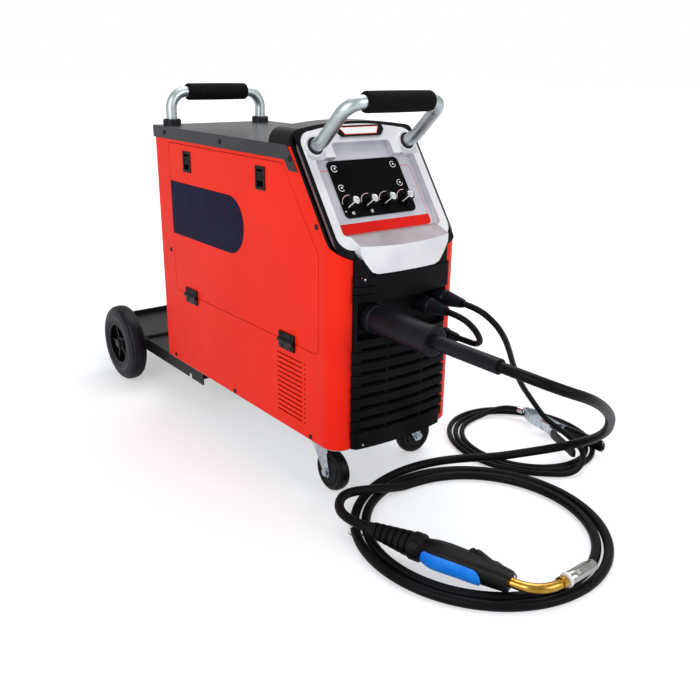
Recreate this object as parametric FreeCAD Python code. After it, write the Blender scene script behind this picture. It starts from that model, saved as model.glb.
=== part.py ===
import FreeCAD, Part
import math
import os

# A MIG welding machine on its own cart, in millimetres. +Z is up, the control panel faces -Y,
# and the hinged service door is on the -X side. The floor is z = 0, and the origin is the middle
# of the machine's and cart's box.

os.makedirs("parts", exist_ok=True)
V = FreeCAD.Vector
X_AXIS = V(1, 0, 0)
Y_AXIS = V(0, 1, 0)
Z_AXIS = V(0, 0, 1)

# Fits
running_fit = 0.05          # radial, shaft in a turning bore
loose_fit = 0.25            # radial, bolt or screw in its hole
panel_gap = 0.3             # between neighbouring sheets and mouldings
door_gap = 1.2              # round the service door

# Cabinet
cabinet_width = 270.0
cabinet_length = 616.0      # rear panel to the front strips of the side panels
front_bulge = 22.0          # how far the lower front stands out past those strips
tray_reach = 352.0          # cylinder tray behind the rear panel
pan_bottom = 101.0          # underside of the base pan above the floor
skirt_z = 574.0             # lower edge of the top cover's skirt
roof_z = 597.0              # top face of the cover
sheet = 1.5                 # panels and cover
pan_sheet = 2.0             # base pan
tray_sheet = 2.5            # cart tray
corner_radius = 30.0        # front vertical corners of the side panels
rear_radius = 6.0           # rear vertical corners
front_strip = 4.0           # flat of the side panel facing forward, past the corner radius
slope = 35.0                # control panel, degrees back from vertical
bezel_band = 9.7            # black band between side panel edge and panel frame

overall_length = tray_reach + cabinet_length + front_bulge
half_width = cabinet_width / 2
tray_end_y = overall_length / 2
rear_y = tray_end_y - tray_reach
strip_y = rear_y - cabinet_length
nose_y = strip_y - front_bulge
panel_bottom = pan_bottom + pan_sheet
shell_half = half_width - sheet

# Control panel plane: a point on it, its outward normal and the way up it
slope_cos = math.cos(math.radians(slope))
slope_sin = math.sin(math.radians(slope))
face_z = 601.8
face_y = strip_y + 114.6
face_place = FreeCAD.Placement(V(0, face_y, face_z), FreeCAD.Rotation(X_AXIS, 90 - slope))


# Helpers: plain solids, outlines and paths
def box(x0, x1, y0, y1, z0, z1):
    """A block between two corners."""
    return Part.makeBox(x1 - x0, y1 - y0, z1 - z0, V(x0, y0, z0))


def rod(start, axis, radius, length):
    """A cylinder from its start point along an axis."""
    return Part.makeCylinder(radius, length, start, axis)


def pipe(start, axis, radius, bore, length):
    """A cylinder with a bore."""
    return rod(start, axis, radius, length).cut(rod(start, axis, bore, length))


def face_of(points):
    """A flat face inside a closed polygon."""
    return Part.Face(Part.makePolygon([V(*p) for p in points] + [V(*points[0])]))


def prism_x(profile, x0, x1):
    """A (y, z) polygon carried along X."""
    return face_of([(x0, y, z) for y, z in profile]).extrude(V(x1 - x0, 0, 0))


def prism_y(profile, y0, y1):
    """An (x, z) polygon carried along Y."""
    return face_of([(x, y0, z) for x, z in profile]).extrude(V(0, y1 - y0, 0))


def prism_z(profile, z0, z1):
    """An (x, y) polygon carried along Z."""
    return face_of([(x, y, z0) for x, y in profile]).extrude(V(0, 0, z1 - z0))


def turned(profile, start, axis):
    """A (distance along the axis, radius) polygon turned round the axis."""
    shape = face_of([(r, 0, a) for a, r in profile]).revolve(V(0, 0, 0), Z_AXIS, 360)
    shape.Placement = FreeCAD.Placement(start, FreeCAD.Rotation(Z_AXIS, axis))
    return shape


def round_upright(solid, radius, pick=None):
    """Fillet the edges that run along Z in the solid's own frame."""
    edges = []
    for edge in solid.Edges:
        ends = [v.Point for v in edge.Vertexes]
        if len(ends) == 2 and abs(ends[0].x - ends[1].x) < 1e-4 and abs(ends[0].y - ends[1].y) < 1e-4:
            if pick is None or pick(ends[0]):
                edges.append(edge)
    return solid.makeFillet(radius, edges)


def plate(x0, x1, y0, y1, z0, z1, radius):
    """A block with its four upright edges rounded."""
    return round_upright(box(x0, x1, y0, y1, z0, z1), radius)


def joined(solids):
    """One solid from several that touch or overlap."""
    first = solids[0]
    return first.fuse(solids[1:]).removeSplitter() if len(solids) > 1 else first


def group(solids):
    """Separate solids kept together in one node."""
    return Part.makeCompound([s for solid in solids for s in (solid.Solids or [solid])])


def mirrored(solid):
    """The same piece on the other side of the machine."""
    return solid.mirror(V(0, 0, 0), X_AXIS)


def on_face(solid):
    """Move a piece drawn flat, x across and y up the slope, onto the control panel plane."""
    out = solid.copy()
    out.Placement = face_place.multiply(out.Placement)
    return out


def bend_path(points, radii):
    """Straight runs joined by tangent arcs, one radius for each inner point."""
    pts = [V(*p) for p in points]
    edges = []
    last = pts[0]
    for i in range(1, len(pts) - 1):
        back = (pts[i - 1] - pts[i]).normalize()
        ahead = (pts[i + 1] - pts[i]).normalize()
        half = (math.pi - back.getAngle(ahead)) / 2
        trim = radii[i - 1] * math.tan(half)
        start = pts[i] + back * trim
        end = pts[i] + ahead * trim
        middle_way = (back + ahead).normalize()
        centre = pts[i] + middle_way * (radii[i - 1] / math.cos(half))
        middle = centre - middle_way * radii[i - 1]
        if (start - last).Length > 1e-4:
            edges.append(Part.LineSegment(last, start).toShape())
        edges.append(Part.Arc(start, middle, end).toShape())
        last = end
    edges.append(Part.LineSegment(last, pts[-1]).toShape())
    return Part.Wire(edges)


def swept(path, radius):
    """A round bar along a path."""
    first = path.Edges[0]
    start = first.valueAt(first.FirstParameter)
    way = first.tangentAt(first.FirstParameter)
    ring = Part.Wire([Part.Circle(start, way, radius).toShape()])
    return path.makePipeShell([ring], True, False)


def save(name, shape):
    """Write one node."""
    for solid in shape.Solids:
        if not solid.isValid():
            print("INVALID", name)
    shape.exportStep("parts/%s.step" % name)
    centre = shape.BoundBox
    print("%-24s solids %2d  x %6.1f %6.1f  y %7.1f %7.1f  z %6.1f %6.1f" % (
        name, len(shape.Solids), centre.XMin, centre.XMax, centre.YMin, centre.YMax,
        centre.ZMin, centre.ZMax))


# Cart tray and rear wheels
tray_half = half_width - 4
tray_floor_z = 86.0
tray_rail_low = 73.0
tray_corner = 28.0
tray_front_y = rear_y - 150
tray_notch_y = rear_y - 92
tray_notch = (14.0, 9.0)
tray_flange = 16.0
bolt_radius = 4.0
tray_bolt_x = tray_half - tray_sheet - tray_flange / 2 - 1

wheel_radius = 88.0
wheel_width = 43.0
wheel_back = 167.0          # axle behind the rear panel
wheel_gap = 14.0            # tray side to tyre
axle_radius = 8.0
hub_radius = 52.0
wheel_y = rear_y + wheel_back
wheel_in = tray_half + wheel_gap
wheel_out = wheel_in + wheel_width
axle_half = wheel_out - 6


def cart_tray():
    """Folded steel tray: floor, side rails, rear lip, and flanges that bolt under the base pan."""
    t = tray_sheet
    outline = [(-tray_half, tray_front_y), (tray_half, tray_front_y),
               (tray_half, tray_end_y - tray_corner), (tray_half - tray_corner, tray_end_y),
               (tray_corner - tray_half, tray_end_y), (-tray_half, tray_end_y - tray_corner)]
    inner = tray_half - t
    cut = tray_corner - t * math.tan(math.radians(22.5))
    core = [(-inner, tray_front_y), (inner, tray_front_y), (inner, tray_end_y - t - cut),
            (inner - cut, tray_end_y - t), (cut - inner, tray_end_y - t), (-inner, tray_end_y - t - cut)]
    body = prism_z(outline, tray_rail_low, pan_bottom)
    body = body.cut(prism_z(core, tray_floor_z + t, pan_bottom + 1))
    body = body.cut(prism_z(core, tray_rail_low - 1, tray_floor_z))
    flanges = []
    for side in (-1, 1):
        edge = side * inner
        x0, x1 = sorted((edge, edge - side * tray_flange))
        flanges.append(box(x0, x1, tray_front_y, rear_y - 4, pan_bottom - t, pan_bottom))
        wide, deep = tray_notch
        body = body.cut(box(side * tray_half - 9, side * tray_half + 9, tray_notch_y - wide / 2,
                            tray_notch_y + wide / 2, tray_rail_low - 1, tray_rail_low + deep))
    sleeve = rod(V(-inner, wheel_y, wheel_radius), X_AXIS, axle_radius + 2.6, 2 * inner)
    body = joined([body, sleeve] + flanges)
    body = body.cut(rod(V(-tray_half - 1, wheel_y, wheel_radius), X_AXIS, axle_radius + running_fit,
                        2 * tray_half + 2))
    for x, y in tray_bolt_places():
        body = body.cut(rod(V(x, y, pan_bottom - 10), Z_AXIS, bolt_radius + loose_fit, 20))
    return body


def tray_bolt_places():
    """Four bolts hold the tray under the base pan."""
    return [(side * tray_bolt_x, y) for side in (-1, 1) for y in (tray_front_y + 20, rear_y - 24)]


def rear_axle():
    """Plain steel axle with a washer and a cap nut at each end."""
    cap = 7.0
    bar = rod(V(-axle_half, wheel_y, wheel_radius), X_AXIS, axle_radius, 2 * axle_half)
    ends = []
    for side in (-1, 1):
        profile = [(0, 0), (0, 11), (3, 11), (5, 8), (cap - 1.5, 0)]
        ends.append(turned(profile, V(side * axle_half, wheel_y, wheel_radius), V(side, 0, 0)))
    return joined([bar] + ends)


def rear_tire():
    """Solid rubber tyre with a crowned tread and two side ribs, right side."""
    w = wheel_width
    r = wheel_radius
    seat = hub_radius
    profile = [(4, seat), (w - 4, seat), (w - 1, seat + 5), (w, seat + 14), (w - 1.5, seat + 22),
               (w - 6, r - 5), (w - 12, r - 1.2), (w / 2, r), (12, r - 1.2), (6, r - 5),
               (1.5, seat + 22), (0, seat + 14), (1, seat + 5)]
    return turned(profile, V(wheel_in, wheel_y, wheel_radius), X_AXIS)


def rear_hub():
    """Moulded hub: rim, web with five openings, and a long plain bore on the axle."""
    w = wheel_width
    rim = turned([(3, hub_radius - 7), (w - 3, hub_radius - 7), (w - 3, hub_radius + 1.5),
                  (w - 4.5, hub_radius), (4, hub_radius), (3, hub_radius)],
                 V(wheel_in, wheel_y, wheel_radius), X_AXIS)
    rim = rim.common(rod(V(wheel_in, wheel_y, wheel_radius), X_AXIS, hub_radius, w))
    web = pipe(V(wheel_in + w / 2 - 4, wheel_y, wheel_radius), X_AXIS, hub_radius - 6, 10, 8)
    boss = pipe(V(wheel_in + 1, wheel_y, wheel_radius), X_AXIS, 15, axle_radius + running_fit, w - 11)
    for k in range(5):
        angle = math.radians(72 * k + 36)
        opening = rod(V(wheel_in, wheel_y + 30 * math.cos(angle), wheel_radius + 30 * math.sin(angle)),
                      X_AXIS, 11, w)
        web = web.cut(opening)
    ribs = []
    for k in range(5):
        rib = box(wheel_in + 8, wheel_in + w - 8, wheel_y + 12, wheel_y + hub_radius - 5,
                  wheel_radius - 2.5, wheel_radius + 2.5)
        rib.rotate(V(wheel_in, wheel_y, wheel_radius), X_AXIS, 72 * k)
        ribs.append(rib)
    hub = joined([rim, web, boss] + ribs)
    return hub.cut(rod(V(wheel_in - 1, wheel_y, wheel_radius), X_AXIS, axle_radius + running_fit, w + 2))


# Swivel casters under the front
caster_x = half_width - 41
caster_y = strip_y + 84
caster_radius = 37.5
caster_width = 24.0
caster_trail = 28.0
caster_bolt = 4.0
fork_sheet = 3.0
fork_inside = caster_width + 2.0
caster_plate = 3.0
caster_hole = (23.0, 19.0)
caster_pin = 5.0
fork_top = pan_bottom - caster_plate - 9
caster_turn = {"left": -90.0, "right": 0.0}


def caster_plates():
    """Zinc top plates with the fixed half of the swivel race and its king pin."""
    solids = []
    for side in (-1, 1):
        c = side * caster_x
        top = plate(c - 31, c + 31, caster_y - 26, caster_y + 26, pan_bottom - caster_plate, pan_bottom, 5)
        race = rod(V(c, caster_y, pan_bottom - caster_plate - 4), Z_AXIS, 21, 4)
        pin = rod(V(c, caster_y, fork_top - 9), Z_AXIS, caster_pin, pan_bottom - caster_plate - fork_top + 9)
        head = rod(V(c, caster_y, fork_top - 12), Z_AXIS, 8, 3)
        top = joined([top, race, pin, head])
        for dx in (-caster_hole[0], caster_hole[0]):
            for dy in (-caster_hole[1], caster_hole[1]):
                top = top.cut(rod(V(c + dx, caster_y + dy, pan_bottom - 9), Z_AXIS, 3, 12))
        solids.append(top)
    return group(solids)


def caster_fork(side, turn):
    """Pressed fork: crown under the race, two tapered legs, and the wheel's bolt with its nut."""
    inner = fork_inside / 2
    outer = inner + fork_sheet
    crown_low = fork_top - 4
    crown = rod(V(0, 0, crown_low), Z_AXIS, 23, pan_bottom - caster_plate - 4 - 0.3 - crown_low)
    bridge = box(-20, caster_trail - 4, -outer, outer, crown_low, crown_low + 4)
    crown = joined([crown, bridge])
    crown = crown.cut(rod(V(0, 0, 0), Z_AXIS, caster_pin + running_fit, 120))
    crown = crown.cut(rod(V(0, 0, fork_top - 13.3), Z_AXIS, 8.3, 9.6))
    leg_shape = [(-18, crown_low + 4), (caster_trail - 4, crown_low + 4),
                 (caster_trail + 9, caster_radius - 3), (caster_trail + 5, caster_radius - 10),
                 (caster_trail - 5, caster_radius - 10), (caster_trail - 10, caster_radius - 2)]
    legs = []
    for s in (-1, 1):
        y0, y1 = sorted((s * inner, s * outer))
        legs.append(prism_y(leg_shape, y0, y1))
    fork = joined([crown] + legs)
    bolt = rod(V(caster_trail, -outer - 6, caster_radius), Y_AXIS, caster_bolt, 2 * outer + 11)
    fork = fork.cut(rod(V(caster_trail, -outer - 9, caster_radius), Y_AXIS, caster_bolt, 2 * outer + 18))
    heads = [rod(V(caster_trail, -outer - 5, caster_radius), Y_AXIS, 7, 5),
             rod(V(caster_trail, outer, caster_radius), Y_AXIS, 7, 4)]
    whole = group([fork, joined([bolt] + heads)])
    whole.rotate(V(0, 0, 0), Z_AXIS, turn)
    whole.translate(V(side * caster_x, caster_y, 0))
    return whole


def caster_wheel(side, turn):
    """Black rubber-tyred wheel with a plain bore on the bolt."""
    h = caster_width / 2
    r = caster_radius
    profile = [(-h, 10), (-h, 22), (-h + 2, 24), (-h, r - 7), (-h + 2.5, r - 2), (-4, r), (4, r),
               (h - 2.5, r - 2), (h, r - 7), (h - 2, 24), (h, 22), (h, 10), (h + 0.8, 9),
               (h + 0.8, caster_bolt + running_fit), (-h - 0.8, caster_bolt + running_fit), (-h - 0.8, 9)]
    wheel = turned(profile, V(caster_trail, 0, r), Y_AXIS)
    wheel.rotate(V(0, 0, 0), Z_AXIS, turn)
    wheel.translate(V(side * caster_x, caster_y, 0))
    return wheel


# Base pan, side panels, cover and rear panel
pan_flange = 18.0
pan_inset = sheet + panel_gap


def shell_outline(inset):
    """Plan outline of the cabinet: square rear corners with a small radius, round front corners."""
    x = half_width - inset
    rear = rear_y - inset
    front = strip_y + inset
    r = corner_radius - inset
    return x, rear, front, r


def shell_block(inset, z0, z1):
    """The cabinet's plan outline as a block."""
    x, rear, front, r = shell_outline(inset)
    body = box(-x, x, front, rear, z0, z1)
    body = round_upright(body, r, lambda p: p.y < 0)
    return round_upright(body, max(rear_radius - inset, 0.6), lambda p: p.y > 0)


def base_pan():
    """Folded pan: floor of the cabinet with an upturned flange all round."""
    body = shell_block(pan_inset, pan_bottom, pan_bottom + pan_flange)
    body = body.cut(shell_block(pan_inset + pan_sheet, pan_bottom + pan_sheet, pan_bottom + pan_flange + 1))
    for x, y in tray_bolt_places():
        body = body.cut(rod(V(x, y, pan_bottom - 1), Z_AXIS, bolt_radius + loose_fit, 4))
    for side in (-1, 1):
        for dx in (-caster_hole[0], caster_hole[0]):
            for dy in (-caster_hole[1], caster_hole[1]):
                body = body.cut(rod(V(side * caster_x + dx, caster_y + dy, pan_bottom - 1), Z_AXIS, 3, 4))
    for y, z in panel_screws:
        if z < pan_bottom + pan_flange:
            hole = rod(V(-half_width - 1, y, z), X_AXIS, screw_radius + loose_fit, cabinet_width + 2)
            body = body.cut(hole)
    return body


# Edge of the side panels under the control panel: a line parallel to it, one band behind
bezel_line_y = face_y + bezel_band * slope_cos
bezel_line_z = face_z - bezel_band * slope_sin


def bezel_y(z, shift=0.0):
    """Y of the side panel's sloping edge at height z, moved back by shift."""
    return bezel_line_y - (bezel_line_z - z) * math.tan(math.radians(slope)) + shift


screw_radius = 2.0
screw_head = 4.6
# side panel screws (y, z)
panel_screws = [(rear_y - 45, 347.0), (strip_y + 51, 478.0), (rear_y - 38, 111.0),
                (strip_y + cabinet_length / 2 + 16, 109.0), (strip_y + 68, 109.0)]
# skirt screws (y, z)
skirt_screws = [(rear_y - 48, skirt_z + 11), (strip_y + cabinet_length / 2 + 38, skirt_z + 11),
                (strip_y + 122, skirt_z + 2)]

# Service door
door_rear_y = rear_y - 62
door_front_y = strip_y + 46
door_low = 266.0
door_high = 567.0
door_slope_z = 434.0
door_slope_y = strip_y + 145
door_radius = 10.0

louvre_rows = 13
louvre_low = 128.7
louvre_pitch = 9.05
louvre_y = (strip_y + 85, strip_y + 170)
louvre_height = 2.4
louvre_dot = 1.9


def door_outline(grow):
    """(y, z) corners of the door opening, grown outward."""
    return [(door_rear_y + grow, door_low - grow), (door_rear_y + grow, door_high + grow),
            (door_slope_y - grow * 0.5, door_high + grow), (door_front_y - grow, door_slope_z + grow * 0.5),
            (door_front_y - grow, door_low - grow)]


def door_block(grow, x0, x1):
    """The door's shape with rounded corners, between two depths."""
    flat = face_of([(y, z, 0) for y, z in door_outline(grow)]).extrude(V(0, 0, x1 - x0))
    flat = round_upright(flat, door_radius + grow)
    turn = FreeCAD.Rotation(Y_AXIS, Z_AXIS, X_AXIS, "XYZ")
    flat.Placement = FreeCAD.Placement(V(x0, 0, 0), turn)
    return flat


def side_wall():
    """Left side panel before its door opening: side, round front corner and rear return."""
    body = shell_block(0, panel_bottom, roof_z - sheet - panel_gap)
    body = body.cut(shell_block(sheet, panel_bottom - 1, roof_z))
    body = body.common(box(-half_width - 1, 0, strip_y - 1, rear_y + 1, panel_bottom - 1, roof_z))
    body = body.cut(box(-half_width + corner_radius + front_strip, 1, strip_y - 1, 0, 0, roof_z + 1))
    body = body.cut(box(-half_width + 18, 1, 0, rear_y + 1, 0, roof_z + 1))
    top = roof_z + 40
    nose = [(bezel_y(panel_bottom) - 300, top), (bezel_y(top), top), (bezel_y(430), 430), (strip_y - 60, 430)]
    return body.cut(prism_x(nose, -half_width - 1, 1).cut(corner_trim(panel_gap)))


def panel_holes(body, side):
    """Screw holes of one side panel."""
    x0 = -half_width - 1 if side < 0 else shell_half - 1
    for y, z in panel_screws + skirt_screws:
        body = body.cut(rod(V(x0, y, z), X_AXIS, screw_radius + loose_fit, sheet + 2))
    return body


def louvres(body):
    """Rows of thin cooling slots, each with a small round punch at its front end."""
    y0, y1 = louvre_y
    cuts = []
    for k in range(louvre_rows):
        z = louvre_low + k * louvre_pitch
        cuts.append(box(-half_width - 1, -shell_half + 1, y0 + 8, y1,
                        z - louvre_height / 2, z + louvre_height / 2))
        cuts.append(rod(V(-half_width - 1, y0, z), X_AXIS, louvre_dot, sheet + 2))
    return body.cut(cuts)


def side_panel_left():
    """Red side panel with the door opening, its hinge screw seats and the louvres."""
    body = side_wall()
    body = body.cut(door_block(door_gap, -half_width - 1, -half_width + 5))
    for y in hinge_places:
        y0 = y - hinge_length / 2 - 1
        body = body.cut(box(-half_width - 1, -shell_half + 1, y0, y0 + hinge_length + 2,
                            door_low - door_gap - 0.1, door_low + 1))
    return panel_holes(louvres(body.cut(hinge_room())), -1)


def side_panel_right():
    """Red side panel of the power side, with the same louvres and more of them at the rear."""
    body = louvres(side_wall())
    shift = louvre_y[1] - louvre_y[0] + 40
    for k in range(louvre_rows):
        z = louvre_low + k * louvre_pitch
        body = body.cut(box(-half_width - 1, -shell_half + 1, louvre_y[0] + shift, louvre_y[1] + shift,
                            z - louvre_height / 2, z + louvre_height / 2))
    return panel_holes(mirrored(body), 1)


# Door hardware
hinge_length = 46.0
hinge_leaf = 15.0
hinge_thick = 4.0
hinge_pin = 2.0
hinge_knuckle = 4.5
hinge_places = [door_rear_y - 69, door_front_y + 90]
hinge_z = door_low - door_gap / 2
hinge_x = -half_width - hinge_thick / 2 - 1.5
latch_places = [door_rear_y - 75, door_front_y + 167]
latch_z = 536.0
latch_size = (30.0, 40.0)
latch_slide = 9.0
slider_size = (13.0, 15.0)


def hinge_knuckles(y, part):
    """Knuckles round the pin: two outer ones on the panel leaf, the middle one on the door leaf."""
    third = hinge_length / 3
    start = y - hinge_length / 2
    spans = [(start, start + third), (start + 2 * third, start + hinge_length)]
    if part == "door":
        spans = [(start + third + 0.3, start + 2 * third - 0.3)]
    return [rod(V(hinge_x, a, hinge_z), Y_AXIS, hinge_knuckle, b - a) for a, b in spans]


def hinge_room():
    """Scallops in the door's and the panel's edges, in which the knuckles turn."""
    return [rod(V(hinge_x, y - hinge_length / 2 - 1, hinge_z), Y_AXIS, hinge_knuckle + 0.5, hinge_length + 2)
            for y in hinge_places]


def hinge_leaves(part):
    """One leaf of each black butt hinge, with its screws; the panel leaves carry the pins."""
    solids = []
    for y in hinge_places:
        start = y - hinge_length / 2
        if part == "door":
            z0, z1 = hinge_z + 1.2, hinge_z + hinge_leaf
        else:
            z0, z1 = hinge_z - hinge_leaf, hinge_z - 1.2
        leaf = box(-half_width - hinge_thick, -half_width, start, start + hinge_length, z0, z1)
        other = "panel" if part == "door" else "door"
        body = joined([leaf] + hinge_knuckles(y, part))
        for knuckle in hinge_knuckles(y, other):
            room = knuckle.BoundBox
            body = body.cut(rod(V(hinge_x, room.YMin - 0.3, hinge_z), Y_AXIS, hinge_knuckle + 0.4,
                                room.YLength + 0.6))
        bore = rod(V(hinge_x, start - 1, hinge_z), Y_AXIS, hinge_pin + running_fit, hinge_length + 2)
        body = body.cut(bore)
        body = body.cut(box(-half_width, 0, start - 1, start + hinge_length + 1,
                            door_low - 40, door_low + 40))
        screws = []
        for dy in (-14, 14):
            z = (z0 + z1) / 2 + (2.2 if part == "door" else -2.2)
            screws.append(rod(V(-half_width - hinge_thick - 1.2, y + dy, z), X_AXIS, 2.8, 1.2))
        solids.append(joined([body] + screws))
        if part != "door":
            solids.append(rod(V(hinge_x, start + 0.5, hinge_z), Y_AXIS, hinge_pin, hinge_length - 1))
    return group(solids)


def service_door():
    """Red door: flat sheet with a folded rim, and two openings for the latches."""
    x0 = -half_width
    body = door_block(0, x0, x0 + 11)
    body = body.cut(door_block(-sheet, x0 + sheet, x0 + 12))
    swing = prism_x([(door_rear_y + 5, door_low - 5), (door_front_y - 5, door_low - 5),
                     (door_front_y - 5, door_low + 9), (door_rear_y + 5, door_low + 9)], x0 + sheet, x0 + 13)
    body = body.cut(swing)
    for y in latch_places:
        wide, high = latch_size
        body = body.cut(box(x0 - 1, x0 + 13, y - wide / 2 + 3, y + wide / 2 - 3,
                            latch_z - high / 2 + 3, latch_z + high / 2 - 3))
        body = body.cut(box(x0 + sheet, x0 + 13, y - 7, y + 7, door_high - 3, door_high + 1))
    return body.cut(hinge_room())


def latch_frames():
    """Black moulded latch housings, clipped into the door."""
    wide, high = latch_size
    deep = 12.0
    solids = []
    for y in latch_places:
        flange = box(-half_width - 1.6, -half_width, y - wide / 2, y + wide / 2,
                     latch_z - high / 2, latch_z + high / 2)
        well = box(-half_width, -half_width + deep, y - wide / 2 + 3.2, y + wide / 2 - 3.2,
                   latch_z - high / 2 + 3.2, latch_z + high / 2 - 3.2)
        body = joined([flange, well])
        body = body.cut(box(-half_width - 3, -half_width + deep - 2, y - wide / 2 + 5.2, y + wide / 2 - 5.2,
                            latch_z - high / 2 + 5.2, latch_z + high / 2 - 5.2))
        body = body.cut(box(-half_width + 4, -half_width + deep - 2, y - 6, y + 6,
                            latch_z + high / 2 - 8, latch_z + high / 2))
        solids.append(body)
    return group(solids)


def door_hardware():
    """Black hinge leaves and latch housings that swing with the door."""
    return group([hinge_leaves("door"), latch_frames()])


def latch_slider(y):
    """Finger slide with a bolt tongue that catches behind the door opening's top edge."""
    wide, high = slider_size
    low = latch_z - latch_size[1] / 2 + 5.2
    pad_low = low + latch_slide + 1
    pad = box(-half_width - 1, -half_width + 9.5, y - wide / 2 - 2.5, y + wide / 2 + 2.5,
              pad_low, pad_low + high)
    tongue = box(-half_width + 4.5, -half_width + 9.5, y - 5.5, y + 5.5, pad_low, door_high + 7)
    ribs = [box(-half_width - 2, -half_width - 1, y - wide / 2, y + wide / 2, z, z + 1.2)
            for z in (pad_low + 3, pad_low + 6.4, pad_low + 9.8)]
    return joined([pad, tongue] + ribs)


def top_cover():
    """Folded cover: roof, side skirts, rear skirt and the two ears beside the control panel."""
    outer = half_width + sheet + panel_gap
    back = rear_y + sheet + panel_gap
    front = bezel_y(roof_z) + 8
    ear_low = 557.5
    ear_rear = strip_y + 125
    ear_slope_y = strip_y + 139
    side = [(back, skirt_z), (back, roof_z), (front, roof_z), (bezel_y(ear_low, 5), ear_low),
            (ear_rear, ear_low), (ear_slope_y, skirt_z)]
    body = prism_x(side, -outer, outer)
    core = [(back - sheet, skirt_z - 30), (back - sheet, roof_z - sheet), (front - 60, roof_z - sheet),
            (front - 60, skirt_z - 30)]
    body = body.cut(prism_x(core, sheet - outer, outer - sheet))
    body = body.cut(box(sheet - outer, outer - sheet, strip_y - 20, front - 30, 500, roof_z - sheet))
    for y, z in skirt_screws:
        body = body.cut(rod(V(-outer - 1, y, z), X_AXIS, screw_radius + loose_fit, 2 * outer + 2))
    for side_x in (-1, 1):
        body = body.cut(rod(V(side_x * rear_handle_x, rear_handle_y, roof_z - 5), Z_AXIS,
                            handle_radius + loose_fit, 10))
    return body


# Fan and rear panel fittings
fan_x = half_width - 73
fan_z = 238.0
fan_radius = 66.0
fan_hub = 24.0
fan_deep = 26.0
fan_spindle = 3.0
rocker_pin = 1.5
switch_x = 65 - half_width
switch_z = 500.0
switch_size = (28.0, 34.0)
gland_x = half_width - 65
gland_z = 430.0
gland_bore = 7.0
inlet_x = -30.0
inlet_z = 500.0
inlet_spigot = 4.0


def rear_panel():
    """Black rear sheet between the side panels, with the fan's slots and the fittings' holes."""
    x = half_width - 18 - panel_gap
    flap = shell_half - rear_radius
    body = box(-x, x, rear_y - sheet, rear_y, panel_bottom, roof_z - sheet - panel_gap)
    inner = box(-flap, flap, rear_y - 2 * sheet - 0.1, rear_y - sheet - 0.1, panel_bottom + pan_flange + 1,
                roof_z - sheet - panel_gap)
    bridge = box(-x, x, rear_y - 2 * sheet - 0.1, rear_y - sheet, panel_bottom + pan_flange + 1,
                 roof_z - sheet - panel_gap)
    body = joined([body, inner, bridge])
    rings = []
    for k in range(5):
        outer = 18 + 11 * (k + 1)
        rings.append(pipe(V(fan_x, rear_y - 10, fan_z), Y_AXIS, outer, outer - 7, 20))
    slots = rings[0].fuse(rings[1:])
    for k in range(4):
        spoke = box(fan_x - 75, fan_x + 75, rear_y - 11, rear_y + 11, fan_z - 3, fan_z + 3)
        spoke.rotate(V(fan_x, 0, fan_z), Y_AXIS, 45 * k)
        slots = slots.cut(spoke)
    body = body.cut(slots)
    wide, high = switch_size
    body = body.cut(box(switch_x - wide / 2, switch_x + wide / 2, rear_y - 9, rear_y + 9,
                        switch_z - high / 2, switch_z + high / 2))
    body = body.cut(rod(V(gland_x, rear_y - 9, gland_z), Y_AXIS, 10 + loose_fit, 18))
    body = body.cut(rod(V(inlet_x, rear_y - 9, inlet_z), Y_AXIS, 6 + loose_fit, 18))
    return body


def rear_fittings():
    """Switch frame, mains cable gland and the brass gas inlet."""
    wide, high = switch_size
    frame = box(switch_x - wide / 2 - 3, switch_x + wide / 2 + 3, rear_y, rear_y + 2,
                switch_z - high / 2 - 3, switch_z + high / 2 + 3)
    tub = box(switch_x - wide / 2 + 0.2, switch_x + wide / 2 - 0.2, rear_y - 26, rear_y,
              switch_z - high / 2 + 0.2, switch_z + high / 2 - 0.2)
    frame = joined([frame, tub])
    frame = frame.cut(box(switch_x - wide / 2 + 2, switch_x + wide / 2 - 2, rear_y - 16, rear_y + 3,
                          switch_z - high / 2 + 2, switch_z + high / 2 - 2))
    for side in (-1, 1):
        x0 = switch_x + side * (wide / 2 - 2)
        frame = frame.cut(rod(V(x0, rear_y - 2, switch_z), V(side, 0, 0), rocker_pin + running_fit, 1.5))
    gland = turned([(-8, 0), (-8, 10), (0, 10), (0, 15), (5, 15), (5, 13), (17, 12), (20, 9.5), (20, 0)],
                   V(gland_x, rear_y, gland_z), Y_AXIS)
    gland = gland.cut(rod(V(gland_x, rear_y - 9, gland_z), Y_AXIS, gland_bore, 40))
    nut = pipe(V(gland_x, rear_y - 2 * sheet - 5.1, gland_z), Y_AXIS, 15, 10 + 0.01, 5)
    inlet = turned([(-12, 0), (-12, 6), (0, 6), (0, 9), (6, 9), (6, inlet_spigot),
                    (28, inlet_spigot), (28, 0)], V(inlet_x, rear_y, inlet_z), Y_AXIS)
    inlet = inlet.cut(rod(V(inlet_x, rear_y - 13, inlet_z), Y_AXIS, 2.2, 60))
    return group([frame, gland, nut, inlet, fan_frame()])


def power_switch():
    """Rocker with two facets, on trunnions in the switch frame."""
    wide, high = switch_size
    half = high / 2 - 3.2
    profile = [(rear_y - 9, switch_z - half), (rear_y - 9, switch_z + half), (rear_y - 1, switch_z + half),
               (rear_y + 1.6, switch_z), (rear_y + 5.2, switch_z - half)]
    body = prism_x(profile, switch_x - wide / 2 + 3, switch_x + wide / 2 - 3)
    body = body.common(rod(V(switch_x - 20, rear_y - 2, switch_z), X_AXIS, half + 0.9, 40))
    pins = rod(V(switch_x - wide / 2 + 1, rear_y - 2, switch_z), X_AXIS, rocker_pin, wide - 2)
    return joined([body, pins])


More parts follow.
